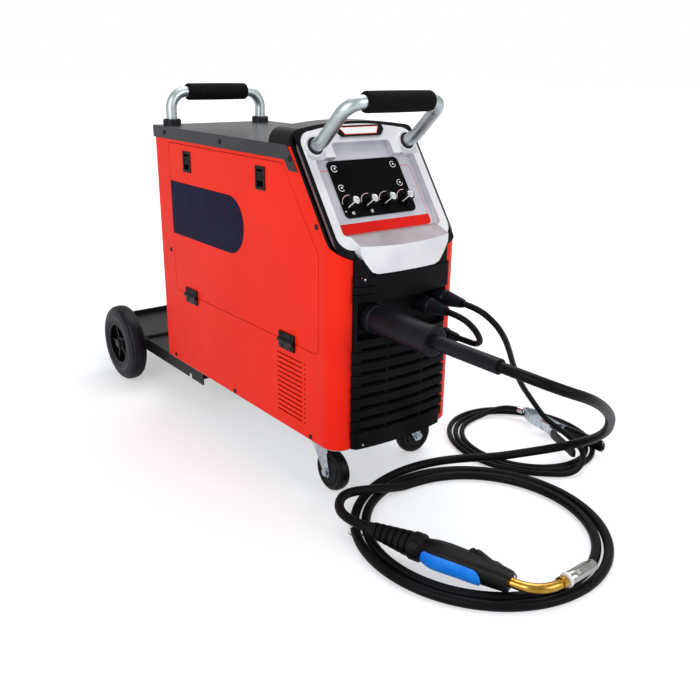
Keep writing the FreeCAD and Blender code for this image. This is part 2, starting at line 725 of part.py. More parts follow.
# Handles
handle_radius = 11.0
grip_radius = 16.5
grip_length = 138.0
rear_handle_x = half_width - 30
rear_handle_y = rear_y - 22
rear_grip_z = 661.0
rear_bend = 33.0
front_handle_x = half_width - 37
front_foot = (face_y + 8, face_z - 14)      # y, z where the leg enters its boss
front_knee = (face_y - 29, face_z + 3)
front_grip = (face_y - 95, 666.0)
front_knee_radius = 44.0
front_bend = 28.5
collar_radius = 18.0
collar_high = 12.0
ring_along = 17.0


def rear_handle_path():
    """Centre line of the rear handle."""
    x, y = rear_handle_x, rear_handle_y
    points = [(-x, y, roof_z - 12), (-x, y, rear_grip_z), (x, y, rear_grip_z), (x, y, roof_z - 12)]
    return bend_path(points, [rear_bend, rear_bend])


def front_handle_path():
    """Centre line of the front handle: out of the boss, a knee, up to the grip and back."""
    x = front_handle_x
    left = [(-x,) + front_foot, (-x,) + front_knee, (-x,) + front_grip]
    right = [(x,) + front_grip, (x,) + front_knee, (x,) + front_foot]
    return bend_path(left + right, [front_knee_radius, front_bend, front_bend, front_knee_radius])


def front_leg(side):
    """Foot of one leg of the front handle, and the direction in which it leaves the panel."""
    foot = V(side * front_handle_x, front_foot[0], front_foot[1])
    knee = V(side * front_handle_x, front_knee[0], front_knee[1])
    return foot, (knee - foot).normalize()


def rear_handle():
    """Bent aluminium tube with a foot plate welded on each end, under the roof."""
    tube = swept(rear_handle_path(), handle_radius)
    feet = [box(s * rear_handle_x - 15, s * rear_handle_x + 15, rear_handle_y - 15, rear_handle_y + 15,
                roof_z - sheet - 4.3, roof_z - sheet - 0.1) for s in (-1, 1)]
    return joined([tube] + feet)


def front_handle():
    """Bent aluminium tube of the front handle."""
    return swept(front_handle_path(), handle_radius)


def handle_grips():
    """Foam sleeves on both handles, with rounded ends."""
    solids = []
    for y, z in ((rear_handle_y, rear_grip_z), front_grip):
        half = grip_length / 2
        profile = [(-half, handle_radius + 0.05), (-half, grip_radius - 3), (-half + 3, grip_radius),
                   (half - 3, grip_radius), (half, grip_radius - 3), (half, handle_radius + 0.05)]
        solids.append(turned(profile, V(0, y, z), X_AXIS))
    return group(solids)


def handle_collars():
    """Black collars on the roof round the rear legs, and seal rings round the front legs."""
    solids = []
    for side in (-1, 1):
        base = V(side * rear_handle_x, rear_handle_y, roof_z)
        profile = [(0, handle_radius + 0.05), (0, collar_radius), (collar_high - 2, collar_radius),
                   (collar_high, collar_radius - 2), (collar_high, handle_radius + 0.05)]
        solids.append(turned(profile, base, Z_AXIS))
        foot, way = front_leg(side)
        ring = pipe(foot + way * ring_along, way, handle_radius + 3.5, handle_radius + 0.05, 3)
        solids.append(ring)
    return group(solids)


# Front hood, fascia and control plate. Flat coordinates on the sloped face: x across, v up the slope,
# w outward.
frame_half = half_width - 14.5
frame_top = 29.0
frame_low = -192.0
frame_corner = 26.0
recess_half = frame_half - 15.5
recess_deep = 12.0
recess_high = -30.0
recess_low = -168.0
name_bar_low = 6.0
crown_high = 33.0
hood_rear_y = strip_y + 186
hood_wall = 3.0
crown_shoulder = 26.0
boss_radius = 19.0
boss_x = front_handle_x
boss_v = -8.0

plate_half = 75.5
plate_x = -3.0
plate_top = -32.0
plate_low = -134.0
plate_thick = 3.0
knob_pitch = 38.8
knob_row = -111.0
button_row = -126.5
knob_centres = [(k - 1.5) * knob_pitch - 2 for k in range(4)]
button_centres = [x - 3 for x in knob_centres]
knob_radius = 9.8
knob_top = 9.0
knob_high = 16.0
shaft_radius = 3.0
button_radius = 3.2


def crown_block(inset, y0, y1, z0):
    """Cross-section of the hood over the roof: upright sides, round shoulders, gently domed top."""
    x = half_width - inset
    top = roof_z + crown_high - inset
    r = crown_shoulder - inset
    shoulder = top - 8 - r
    k = math.sqrt(0.5)
    left = [V(-x, y0, z0), V(-x, y0, shoulder), V(-x + r * (1 - k), y0, shoulder + r * k),
            V(-x + r, y0, shoulder + r)]
    right = [V(x - r, y0, shoulder + r), V(x - r * (1 - k), y0, shoulder + r * k),
             V(x, y0, shoulder), V(x, y0, z0)]
    edges = [Part.LineSegment(left[0], left[1]).toShape(), Part.Arc(left[1], left[2], left[3]).toShape(),
             Part.Arc(left[3], V(0, y0, top), right[0]).toShape(),
             Part.Arc(right[0], right[1], right[2]).toShape(),
             Part.LineSegment(right[2], right[3]).toShape(), Part.LineSegment(right[3], left[0]).toShape()]
    return Part.Face(Part.Wire(edges)).extrude(V(0, y1 - y0, 0))


def frame_block(grow, w0, w1):
    """Outline of the silver frame on the slope, between two depths."""
    x = frame_half + grow
    low = frame_low - grow
    r = frame_corner + grow
    crown = 10.0
    top = frame_top + grow
    k = math.sqrt(0.5)
    pts = [V(-x, low + r, w0), V(-x, top - crown - r, w0), V(-x + r * (1 - k), top - crown - r * (1 - k), w0),
           V(-x + r, top - crown, w0), V(0, top, w0), V(x - r, top - crown, w0),
           V(x - r * (1 - k), top - crown - r * (1 - k), w0), V(x, top - crown - r, w0), V(x, low + r, w0),
           V(x - r * (1 - k), low + r * (1 - k), w0), V(x - r, low, w0), V(-x + r, low, w0),
           V(-x + r * (1 - k), low + r * (1 - k), w0)]
    edges = [Part.LineSegment(pts[0], pts[1]).toShape(), Part.Arc(pts[1], pts[2], pts[3]).toShape(),
             Part.Arc(pts[3], pts[4], pts[5]).toShape(), Part.Arc(pts[5], pts[6], pts[7]).toShape(),
             Part.LineSegment(pts[7], pts[8]).toShape(), Part.Arc(pts[8], pts[9], pts[10]).toShape(),
             Part.LineSegment(pts[10], pts[11]).toShape(), Part.Arc(pts[11], pts[12], pts[0]).toShape()]
    return on_face(Part.Face(Part.Wire(edges)).extrude(V(0, 0, w1 - w0)))


def slope_profile(w, z_high, z_low, back):
    """(y, z) polygon behind the plane at depth w, between two heights."""
    shift = w / slope_cos
    tan = math.tan(math.radians(slope))

    def y_at(z):
        return face_y - (face_z - z) * tan - shift

    return [(back, z_low), (y_at(z_low), z_low), (y_at(z_high), z_high), (back, z_high)]


hood_low = 432.0
band = half_width - frame_half


def corner_trim(gap):
    """Room outside the hood's lower corners, which curve round the frame's with the band between."""
    x0 = frame_half - frame_corner
    v0 = frame_low + frame_corner
    block = box(x0, half_width + 9, v0 - 70, v0, -40, 12)
    block = block.cut(rod(V(x0, v0, -41), Z_AXIS, frame_corner + band + gap, 60))
    return on_face(group([block, mirrored(block)]))


def band_slopes():
    """Wedges that let the hood's side bands fall back towards the side panels."""
    x0 = frame_half + 1.5
    wedge = face_of([(x0, -260, 0), (half_width + 1, -260, 0), (half_width + 1, -260, -bezel_band)])
    wedge = wedge.extrude(V(0, 300, 0))
    return on_face(group([wedge, mirrored(wedge)]))


def front_hood():
    """Black moulded hood: crown on the roof, bands beside the panel, open where the fascia sits."""
    top = roof_z + crown_high + 1
    block = prism_x(slope_profile(0.0, top, hood_low, hood_rear_y), -half_width, half_width)
    wide = half_width + 1
    behind = prism_x([(bezel_y(hood_low - 5), hood_low - 5), (bezel_y(roof_z), roof_z),
                      (hood_rear_y + 5, roof_z), (hood_rear_y + 5, hood_low - 5)], -wide, wide)
    behind.translate(V(0, -panel_gap, 0))
    roof_cut = box(-wide, wide, bezel_y(roof_z) - 2, hood_rear_y + 5, hood_low - 5, roof_z)
    outer = block.common(crown_block(0, strip_y - 30, hood_rear_y, hood_low))
    outer = outer.cut(behind).cut(roof_cut)
    inner = crown_block(hood_wall, strip_y - 40, hood_rear_y - hood_wall, hood_low - 1)
    hollow = slope_profile(-hood_wall, top, hood_low - 1, hood_rear_y - hood_wall)
    outer = outer.cut(inner.common(prism_x(hollow, -half_width, half_width)))
    outer = outer.cut(frame_block(panel_gap, -30, 5))
    for side in (-1, 1):
        outer = outer.cut(on_face(rod(V(side * boss_x, boss_v, -30), Z_AXIS, boss_radius + panel_gap, 40)))
    outer = outer.cut(corner_trim(0)).cut(band_slopes())
    chin_room = chin_half + panel_gap
    outer = outer.cut(box(-chin_room, chin_room, nose_y - 9, strip_y + 30, 0, chin_top))
    return outer.cut(shell_block(-panel_gap, 0, hood_low + 8).common(
        box(-200, 200, strip_y + 6, rear_y, 0, hood_low + 8)))


def bulge_block(inset, z0, z1):
    """Plan outline of the lower front: flat back at the strips, gently bowed face, round corners."""
    x = half_width - corner_radius - front_strip - panel_gap - inset
    y = strip_y + inset
    nose = nose_y + inset + slat_proud
    corner = 9.0
    edge_y = nose + 9
    edges = [Part.LineSegment(V(-x, y + 40, z0), V(-x, edge_y + corner, z0)).toShape(),
             Part.Arc(V(-x, edge_y + corner, z0), V(-x + corner * 0.3, edge_y + corner * 0.3, z0),
                      V(-x + corner, edge_y - 0.6, z0)).toShape(),
             Part.Arc(V(-x + corner, edge_y - 0.6, z0), V(0, nose, z0),
                      V(x - corner, edge_y - 0.6, z0)).toShape(),
             Part.Arc(V(x - corner, edge_y - 0.6, z0), V(x - corner * 0.3, edge_y + corner * 0.3, z0),
                      V(x, edge_y + corner, z0)).toShape(),
             Part.LineSegment(V(x, edge_y + corner, z0), V(x, y + 40, z0)).toShape(),
             Part.LineSegment(V(x, y + 40, z0), V(-x, y + 40, z0)).toShape()]
    return Part.Face(Part.Wire(edges)).extrude(V(0, 0, z1 - z0))


slat_proud = 2.5
chin_top = 461.0
chin_shelf = 447.0
chin_low = 406.0
chin_half = half_width - 40
grille_top = 431.5
slat_count = 8
slat_high = 12.5
slat_pitch = 20.5
slat_low = 122.0
pocket_half = half_width - 38
pocket_low = 298.0
pocket_high = 361.0
pocket_deep = 26.0
grille_wall = 3.0


def chin_block(grow, z_grow):
    """Front view outline of the chin, with its lower corners swept in."""
    x = chin_half + grow
    low = chin_low - z_grow
    half = [(34, low), (22, low + 4), (9, chin_low + 20), (0, chin_shelf - 6), (0, chin_top + 20)]
    outline = [(inset - x, z) for inset, z in reversed(half)] + [(x - inset, z) for inset, z in half]
    return prism_y(outline, nose_y - 10, strip_y + 30)


def fascia():
    """Silver frame with its recessed field, name bar, handle bosses and the chin below."""
    body = frame_block(0, -16, 0)
    field = plate(-recess_half, recess_half, recess_low, recess_high, -recess_deep, 10, 8)
    upper = plate(-62, 62, recess_high - 12, name_bar_low - 10, -recess_deep, 10, 6)
    body = body.cut([on_face(field), on_face(upper)])
    bar = plate(-44, 44, name_bar_low, name_bar_low + 17, -1, 2.5, 4)
    body = body.fuse(on_face(bar))
    for side in (-1, 1):
        pad = rod(V(side * boss_x, boss_v, -15), Z_AXIS, boss_radius, 15)
        foot, way = front_leg(side)
        body = body.fuse([on_face(pad), rod(foot + way * 3, way, boss_radius - 1.5, ring_along - 1)])
    skirt = prism_x([(strip_y + 6, chin_low), (nose_y - 4, chin_low), (nose_y - 4, chin_shelf),
                     (face_y - (face_z - chin_top) * math.tan(math.radians(slope)) - 1, chin_top + 3),
                     (strip_y + 26, chin_top + 3)], -chin_half, chin_half)
    chin = skirt.common(bulge_block(-0.4, chin_low - 5, chin_top + 10)).common(chin_block(0, 0))
    behind = slope_profile(-16.0, chin_top + 30, chin_low - 1, rear_y)
    chin = chin.cut(prism_x(behind, -200, 200))
    body = joined([body, chin])
    hollow = [(strip_y + 3, chin_low - 2), (nose_y + 9, chin_low - 2), (nose_y + 9, chin_shelf - 6),
              (strip_y + 3, chin_shelf + 4)]
    body = body.cut(prism_x(hollow, -chin_half + 12, chin_half - 12))
    for side in (-1, 1):
        foot, way = front_leg(side)
        body = body.cut(rod(foot - way * 20, way, handle_radius + 0.05, 60))
        body = body.cut(rod(foot + way * ring_along, way, handle_radius + 3.6, 30))
    for x in knob_centres:
        body = body.cut(on_face(rod(V(x, knob_row, -30), Z_AXIS, shaft_radius + 2, 30)))
    for x in button_centres[:2]:
        body = body.cut(on_face(rod(V(x, button_row, -30), Z_AXIS, button_radius + 2, 30)))
    return body


def control_plate():
    """Black control plate with its encoder bushes, screw heads, lamps and jack sockets."""
    w0 = -recess_deep
    body = plate(plate_x - plate_half, plate_x + plate_half, plate_low, plate_top, w0, w0 + plate_thick, 9)
    extras = []
    for x in (-plate_half + 8, plate_half - 18):
        for v in (plate_top - 14, plate_top - 49):
            extras.append(rod(V(x, v, w0 + plate_thick - 0.5), Z_AXIS, 4.0, 1.6))
    for x in button_centres[2:]:
        extras.append(rod(V(x, button_row, w0 + plate_thick - 0.5), Z_AXIS, button_radius, 2.2))
    for x in knob_centres[:3]:
        for shift in (10.5, 21.0):
            extras.append(rod(V(x + shift, knob_row - 9, w0 + plate_thick - 0.5), Z_AXIS, 1.2, 1.0))
    body = joined([body] + extras)
    for x in knob_centres:
        body = body.cut(rod(V(x, knob_row, -40), Z_AXIS, shaft_radius + running_fit, 60))
    for x in button_centres[:2]:
        body = body.cut(rod(V(x, button_row, -40), Z_AXIS, button_radius + running_fit, 60))
    board = -24.4
    backing = plate(plate_x - plate_half + 6, plate_x + plate_half - 2, plate_low + 4, plate_top - 6,
                    board - 1.6, board, 3)
    for x in knob_centres:
        backing = backing.fuse(pipe(V(x, knob_row, board), Z_AXIS, shaft_radius + 1.8,
                                    shaft_radius + running_fit, -recess_deep - board))
    return on_face(group([body, backing]))


def knob(x):
    """Tall black knob on its encoder shaft."""
    w0 = plate_thick - recess_deep + 0.3
    profile = [(w0, 0), (w0, knob_radius), (w0 + knob_high - 1.5, knob_top + 0.2),
               (w0 + knob_high, knob_top - 1), (w0 + knob_high, 0)]
    body = turned(profile, V(x, knob_row, 0), Z_AXIS)
    shaft = rod(V(x, knob_row, -24), Z_AXIS, shaft_radius, 24 + w0)
    return on_face(joined([body, shaft]))


def push_button(x):
    """Small metal-capped push button that travels into the plate."""
    w0 = plate_thick - recess_deep
    profile = [(-4.5, 0), (-4.5, button_radius), (1.9, button_radius), (2.4, button_radius - 0.6), (2.4, 0)]
    return on_face(turned(profile, V(x, button_row, w0), Z_AXIS))


def grille_bands():
    """Heights of the proud horizontal slats."""
    return [slat_low + k * slat_pitch for k in range(slat_count)]


torch_x = -62.0
torch_z = 330.0
plug_places = {"earth": (82.0, 345.0), "jumper": (48.0, 336.0)}
tail_gland = (94.0, 277.0)
socket_face = nose_y + pocket_deep


def front_grille():
    """Black moulded lower front: bowed louvred face, brow, and the pocket for the connectors."""
    z0 = panel_bottom
    outer = bulge_block(0, z0, grille_top)
    inner = bulge_block(grille_wall, z0 + grille_wall, grille_top - grille_wall)
    body = outer.cut(inner).cut(box(-200, 200, strip_y + 8, rear_y, 0, 700))
    bands = [bulge_block(-slat_proud, z, z + slat_high) for z in grille_bands()]
    bands.append(bulge_block(-slat_proud, pocket_high + 3, 404))
    bands = [b.cut(bulge_block(grille_wall - 1, z0, grille_top)).cut(
        box(-200, 200, strip_y - 2, rear_y, 0, 700)) for b in bands]
    body = joined([body] + bands)
    body = body.cut(shell_block(pan_inset - panel_gap, 0, pan_bottom + pan_flange + panel_gap))
    slots = []
    for z in grille_bands():
        for x0, x1 in ((-90, -42), (-37, 37), (42, 90)):
            slots.append(box(x0, x1, nose_y - 9, strip_y + 4, z + slat_high + 1.5, z + slat_pitch - 1.5))
    body = body.cut(slots)
    shade_x = half_width - corner_radius - front_strip - panel_gap - grille_wall
    shade = box(-shade_x, shade_x, strip_y + 5, strip_y + 8, z0 + pan_flange, chin_low - 8)
    body = joined([body, shade])
    for z in (388.5, 375.5):
        groove = box(-200, -70, nose_y - 9, rear_y, z - 1, z + 1)
        body = body.cut(groove.cut(bulge_block(1, 0, 700)))
    back_y = socket_face + grille_wall
    tub = box(-pocket_half - grille_wall, pocket_half + grille_wall, nose_y + 4, back_y,
              pocket_low - grille_wall, pocket_high + grille_wall)
    tub = tub.common(bulge_block(0, z0, grille_top).fuse(
        box(-pocket_half - grille_wall, pocket_half + grille_wall, strip_y, back_y, z0, grille_top)))
    body = joined([body, tub])
    pocket = box(-pocket_half, pocket_half, nose_y - 20, socket_face, pocket_low, pocket_high)
    body = body.cut(pocket)
    body = body.cut(rod(V(torch_x, socket_face - 1, torch_z), Y_AXIS, euro_radius + loose_fit, 10))
    for x, z in plug_places.values():
        body = body.cut(rod(V(x, socket_face - 1, z), Y_AXIS, dinse_radius + loose_fit, 10))
    x, z = tail_gland
    body = body.cut(rod(V(x, nose_y - 9, z), Y_AXIS, gland_neck + loose_fit, 60))
    body = body.cut(chin_block(panel_gap, panel_gap).common(
        box(-200, 200, nose_y - 10, rear_y, chin_low - panel_gap, 700)))
    return body


euro_radius = 17.0
gland_neck = 6.0
dinse_radius = 12.0
dinse_pin = 6.5


def front_sockets():
    """Brass torch socket and two round output sockets, in the connector pocket."""
    y = socket_face
    solids = []
    flange = plate(torch_x - 24, torch_x + 24, torch_z - 24, torch_z + 24, 0, 3, 4)
    flange.Placement = FreeCAD.Placement(V(0, y, 0), FreeCAD.Rotation(X_AXIS, 90))
    body = rod(V(torch_x, y - 3, torch_z), Y_AXIS, euro_radius, 43)
    bore = rod(V(torch_x, y - 13, torch_z), Y_AXIS, plug_pin + 0.03, 60)
    solids.append(joined([flange, body]).cut(bore))
    for x, z in plug_places.values():
        socket = turned([(-4, 0), (-4, 13.5), (0, 13.5), (0, dinse_radius), (26, dinse_radius), (26, 0)],
                        V(x, y, z), Y_AXIS)
        solids.append(socket.cut(rod(V(x, y - 5, z), Y_AXIS, dinse_pin + 0.03, 26)))
    return group(solids)


def gland_face(x):
    """Y of the bowed slat face at x, where the jumper's gland seats."""
    half = half_width - corner_radius - front_strip - panel_gap - 9
    sag = 8.4
    radius = (half * half + sag * sag) / (2 * sag)
    return nose_y + radius - math.sqrt(radius * radius - x * x)


plug_pin = 6.0


# Screws and bolts that show
def cabinet_hardware():
    """Black button-head screws, the fixed hinge leaves with their pins, and the tray's bolts."""
    solids = [hinge_leaves("panel")]
    for side in (-1, 1):
        for y, z in panel_screws:
            solids.append(side_screw(side, half_width, y, z))
        for y, z in skirt_screws:
            solids.append(side_screw(side, half_width + sheet + panel_gap, y, z))
    for x, y in tray_bolt_places():
        head = rod(V(x, y, pan_bottom - tray_sheet - 5), Z_AXIS, 6.5, 5)
        shank = rod(V(x, y, pan_bottom - tray_sheet), Z_AXIS, bolt_radius, tray_sheet + pan_sheet)
        nut = rod(V(x, y, pan_bottom + pan_sheet), Z_AXIS, 6.5, 6)
        solids.append(joined([head, shank, nut]))
    return group(solids)


def side_screw(side, x, y, z):
    """One button-head screw, its head on the sheet."""
    profile = [(0, 0), (0, screw_head), (1.2, screw_head), (2.4, 2.8), (2.4, 0)]
    head = turned(profile, V(side * x, y, z), V(side, 0, 0))
    shank = rod(V(side * x, y, z), V(-side, 0, 0), screw_radius, 7)
    return joined([head, shank])


# Inside: partition, power unit, fan, wire feed and spool
wall_x = -12.0
wall_clear = 32.0           # partition behind the control panel's face
shelf_z = 258.0
wall_front_y = strip_y + 40
wall_rear_y = rear_y - 12
spool_radius = 135.0
spool_width = 96.0
spool_y = rear_y - 145
spool_z = 412.0
spool_x = 65 - half_width
hub_shaft = 10.0
roll_radius = 15.0
roll_width = 12.0
feed_y = strip_y + 150
wire_size = 0.8
arm_pin = 3.0
motor_shaft = 7.0
motor_radius = 27.0


def centre_wall():
    """Folded partition: upright wall, shelf of the wire bay and a foot on the pan."""
    t = pan_sheet
    wall = box(wall_x, wall_x + t, wall_front_y, wall_rear_y, panel_bottom, roof_z - sheet - 3)
    shelf = box(-shell_half + 4, wall_x, wall_front_y, wall_rear_y, shelf_z - t, shelf_z)
    foot = box(wall_x, wall_x + 24, wall_front_y, wall_rear_y, panel_bottom, panel_bottom + t)
    body = joined([wall, shelf, foot])
    body = body.common(prism_x(slope_profile(-wall_clear, roof_z, 0, rear_y), -shell_half, shell_half))
    body = body.cut(rod(V(wall_x - 5, feed_y, torch_z - roll_radius), X_AXIS, 12, 12))
    body = body.cut(rod(V(wall_x - 5, spool_y, spool_z), X_AXIS, hub_shaft - 0.05, 12))
    return group([body, spool_hub()])


def power_unit():
    """Finned heat sink, circuit board with capacitors and two chokes, on the pan."""
    low = panel_bottom
    back = rear_y - 83
    front = strip_y + 173
    board_x = half_width - 37
    solids = []
    base = box(20, 30, front, back, low + 2, 268)
    fins = [box(30, board_x - 10, front, back, z, z + 3) for z in range(int(low) + 5, 262, 12)]
    foot = box(14, 60, front, back, low, low + 2)
    solids.append(joined([base, foot] + fins))
    board = box(board_x - 2, board_x, front, back, low, 330)
    caps = [rod(V(board_x, front + 50 + 40 * k, z), X_AXIS, 14, 26) for k in range(4) for z in (160, 200)]
    solids.append(joined([board] + caps))
    for y in (front - 90, front - 40):
        solids.append(box(20, board_x - 14, y - 20, y + 20, low, low + 60))
    return group(solids)


def fan_rotor():
    """Axial fan rotor with seven twisted blades."""
    y0 = rear_y - 14 - fan_deep
    hub = rod(V(fan_x, y0, fan_z), Y_AXIS, fan_hub, fan_deep - 2)
    hub = hub.cut(rod(V(fan_x, y0 - 1, fan_z), Y_AXIS, fan_spindle + running_fit, fan_deep + 4))
    blades = []
    for k in range(7):
        blade = box(fan_x - 9, fan_x + 9, y0 + 8, y0 + 10.5, fan_z + fan_hub - 3, fan_z + fan_radius - 4)
        blade.rotate(V(fan_x, y0 + 9, fan_z + fan_hub), Z_AXIS, 38)
        blade.rotate(V(fan_x, y0, fan_z), Y_AXIS, 360 / 7 * k)
        blades.append(blade)
    return joined([hub] + blades)


def fan_frame():
    """Square fan frame behind the rear panel, with the rotor's fixed spindle."""
    y0 = rear_y - 12 - fan_deep
    half = fan_radius + 1
    frame = plate(fan_x - half, fan_x + half, fan_z - half, fan_z + half, 0, fan_deep + 8, 6)
    frame.Placement = FreeCAD.Placement(V(0, rear_y - 3.1, 0), FreeCAD.Rotation(X_AXIS, 90))
    frame = frame.cut(rod(V(fan_x, y0 - 10, fan_z), Y_AXIS, fan_radius - 2, fan_deep + 30))
    spindle = rod(V(fan_x, y0 - 3, fan_z), Y_AXIS, fan_spindle, fan_deep + 11)
    arms = box(fan_x - half + 1, fan_x + half - 1, rear_y - 8.1, rear_y - 4.1, fan_z - 3, fan_z + 3)
    disc = rod(V(fan_x, rear_y - 9.1, fan_z), Y_AXIS, fan_hub - 4, 5)
    return joined([frame, spindle, arms, disc])


def wire_feeder():
    """Feed plate with its motor, the torch adaptor tube and the wire's inlet guide."""
    z = torch_z
    plate_in = wall_x - 22
    base = box(plate_in, plate_in + 8, feed_y - 48, feed_y + 62, z - 60, z + 44)
    base = base.cut(rod(V(plate_in - 1, feed_y, z - roll_radius), X_AXIS, motor_shaft + running_fit, 10))
    spacers = [rod(V(plate_in + 8, feed_y + dy, z + dz), X_AXIS, 7, 14)
               for dy in (-38, 50) for dz in (-50, 34)]
    base = joined([base] + spacers)
    motor = rod(V(wall_x + pan_sheet, feed_y, z - roll_radius), X_AXIS, motor_radius, 88)
    outlet = rod(V(torch_x, socket_face + 40, z), Y_AXIS, 9, feed_y - 17 - socket_face - 40)
    outlet = outlet.cut(rod(V(torch_x, -500, z), Y_AXIS, 1.2, 500))
    bracket = box(torch_x - 5, plate_in, feed_y - 44, feed_y - 26, z - 12, z + 12)
    bracket = bracket.cut(rod(V(torch_x, -500, z), Y_AXIS, 9 - 0.01, 500))
    guide = rod(V(torch_x, feed_y + 17, z), Y_AXIS, 5, 40).cut(rod(V(torch_x, feed_y, z), Y_AXIS, 1.2, 90))
    hold = box(torch_x, plate_in, feed_y + 40, feed_y + 52, z - 8, z + 8)
    hold = hold.cut(rod(V(torch_x, feed_y, z), Y_AXIS, 1.2, 90))
    frame = joined([base, bracket, hold, guide])
    ear = box(torch_x + roll_width / 2 + 3, plate_in, feed_y + 26, feed_y + 38, z + 14, z + 40)
    frame = joined([frame, ear])
    frame = frame.cut(rod(V(-200, feed_y + 32, z + 32), X_AXIS, arm_pin + running_fit, 300))
    return group([frame, outlet.cut(frame), motor])


def drive_roll():
    """Grooved drive roll on the motor's gearbox shaft."""
    x0 = torch_x - roll_width / 2
    groove = roll_width / 2
    roll = turned([(0, 0), (0, roll_radius), (groove - 1, roll_radius), (groove, roll_radius - wire_size),
                   (groove + 1, roll_radius), (roll_width, roll_radius), (roll_width, 0)],
                  V(x0, feed_y, torch_z - roll_radius), X_AXIS)
    shaft = rod(V(x0 - 4, feed_y, torch_z - roll_radius), X_AXIS, 4, 4)
    stub_x = x0 + roll_width
    stub = rod(V(stub_x, feed_y, torch_z - roll_radius), X_AXIS, motor_shaft, wall_x - 15 - stub_x)
    return joined([roll, shaft, stub])


def pressure_arm():
    """Sprung arm over the drive roll, with the pin of its pressure roll and a handle."""
    z = torch_z
    x_in = torch_x + roll_width / 2 + 2
    bar = box(torch_x - 9, x_in - 0.3, feed_y - 24, feed_y + 32, z + 27, z + 35)
    bar = bar.cut(box(torch_x - 7, torch_x + 7, feed_y - 17, feed_y + 17, z, z + 60))
    fork = [box(x0, x0 + 1.8, feed_y - 7, feed_y + 7, z + 8, z + 35)
            for x0 in (torch_x - 8.9, torch_x + 7.1)]
    eye = rod(V(torch_x - 9, feed_y + 32, z + 32), X_AXIS, 6, x_in - 0.3 - torch_x + 9)
    pin = rod(V(torch_x - 9, feed_y + 32, z + 32), X_AXIS, arm_pin, wall_x - 16 - torch_x + 9)
    lever = box(torch_x - 5, torch_x + 5, feed_y - 38, feed_y - 22, z + 29, z + 34)
    axle = rod(V(torch_x - 9, feed_y, z + roll_radius + wire_size), X_AXIS, arm_pin, 18.9)
    return joined([bar] + fork + [eye, pin, lever, axle])


def pressure_roll():
    """Smooth pressure roll that the arm holds on the wire."""
    start = V(torch_x - roll_width / 2, feed_y, torch_z + roll_radius + wire_size)
    return pipe(start, X_AXIS, roll_radius, arm_pin + running_fit, roll_width)


def spool_hub():
    """Spool shaft on the partition, with its brake collar and retaining cap."""
    x_out = spool_x - spool_width / 2 - 8
    shaft = rod(V(x_out, spool_y, spool_z), X_AXIS, hub_shaft, wall_x + 12 - x_out)
    collar = pipe(V(wall_x - 8, spool_y, spool_z), X_AXIS, 30, hub_shaft - 1, 8)
    cap = rod(V(x_out, spool_y, spool_z), X_AXIS, 22, 6)
    nut = rod(V(wall_x + pan_sheet, spool_y, spool_z), X_AXIS, 18, 6)
    return joined([shaft, collar, cap, nut])


def wire_spool():
    """Plastic spool full of welding wire."""
    x0 = spool_x - spool_width / 2
    h = spool_width
    bore = hub_shaft + running_fit
    full = spool_radius - 12
    profile = [(0, bore), (0, spool_radius), (4, spool_radius), (4, full), (h - 4, full),
               (h - 4, spool_radius), (h, spool_radius), (h, bore)]
    spool = turned(profile, V(x0, spool_y, spool_z), X_AXIS)
    windows = []
    for k in range(6):
        angle = math.radians(60 * k)
        y = spool_y + 34 * math.cos(angle)
        z = spool_z + 34 * math.sin(angle)
        for x in (x0 - 1, x0 + h - 8):
            windows.append(rod(V(x, y, z), X_AXIS, 11, 9))
    return spool.cut(windows)


# Torch and leads. Each lead leaves its plug, and its coil lies on the floor beside the machine.
torch_cable = 16.0
lead_cable = 10.5
plug_front = socket_face - 3.3

sleeve_end = -754.0
torch_route = [(torch_x, sleeve_end, torch_z), (torch_x, -802, torch_z), (-28, -838, 314), (28, -846, 290),
               (105, -820, 246), (182, -782, 195), (246, -735, 134), (272, -672, 84), (256, -612, 52),
               (225, -572, 36)]
earth_route = [(82, -540, 345), (82, -574, 345), (100, -598, 322), (128, -596, 292), (158, -584, 258),
               (188, -569, 223), (235, -550, 171), (285, -545, 118), (308, -562, 80), (330, -600, 56),
               (338, -642, 30)]
jumper_route = [(48, -537, 336), (48, -566, 336), (60.6, -586.5, 320), (81.4, -586.5, 293), (94, -566, 277),
                (94.2, -537, 277.1), (94, -520, 277)]
torch_tail = [(-60, -503, 26), (-125, -493, 37), (-163, -519, 38), (-175.9, -559.2, 35.4),
              (-162, -602, 35)]
earth_tail = [(381, -376, 18), (404, -398, 22.5), (410, -424, 22.5)]


def torch_coil_at(turn):
    """Point of the torch lead's coil after so many turns, counter-clockwise from above."""
    a = math.radians(50 + 360 * turn)
    lift = 15 * (1 - min(1.0, 4 * max(turn, 0))) ** 2
    return V(15 + (212 - 18 * turn) * math.cos(a), -676 + (218 - 20 * turn) * math.sin(a),
             torch_cable / 2 + 0.3 + lift)


def earth_coil_at(turn):
    """Point of the earth lead's coil after so many turns, clockwise from above."""
    a = math.radians(-125 - 360 * turn)
    return V(330 + (142 - 12 * turn) * math.cos(a), -490 + (158 - 14 * turn) * math.sin(a),
             lead_cable / 2 + 0.4)


torch_turns = 2.1
earth_turns = 2.39


def heading(where, turn):
    """Unit tangent of a coil's formula."""
    step = 1e-5
    return (where(turn + step) - where(turn)).normalize()


def corner_arc(start, corner, end):
    """The arc that touches start-corner and corner-end at its ends."""
    half = (math.pi - (start - corner).getAngle(end - corner)) / 2
    middle = (start + end) * 0.5
    bow = math.cos(half) / (1 + math.cos(half))
    return Part.Arc(start, middle + (corner - middle) * bow, end).toShape()


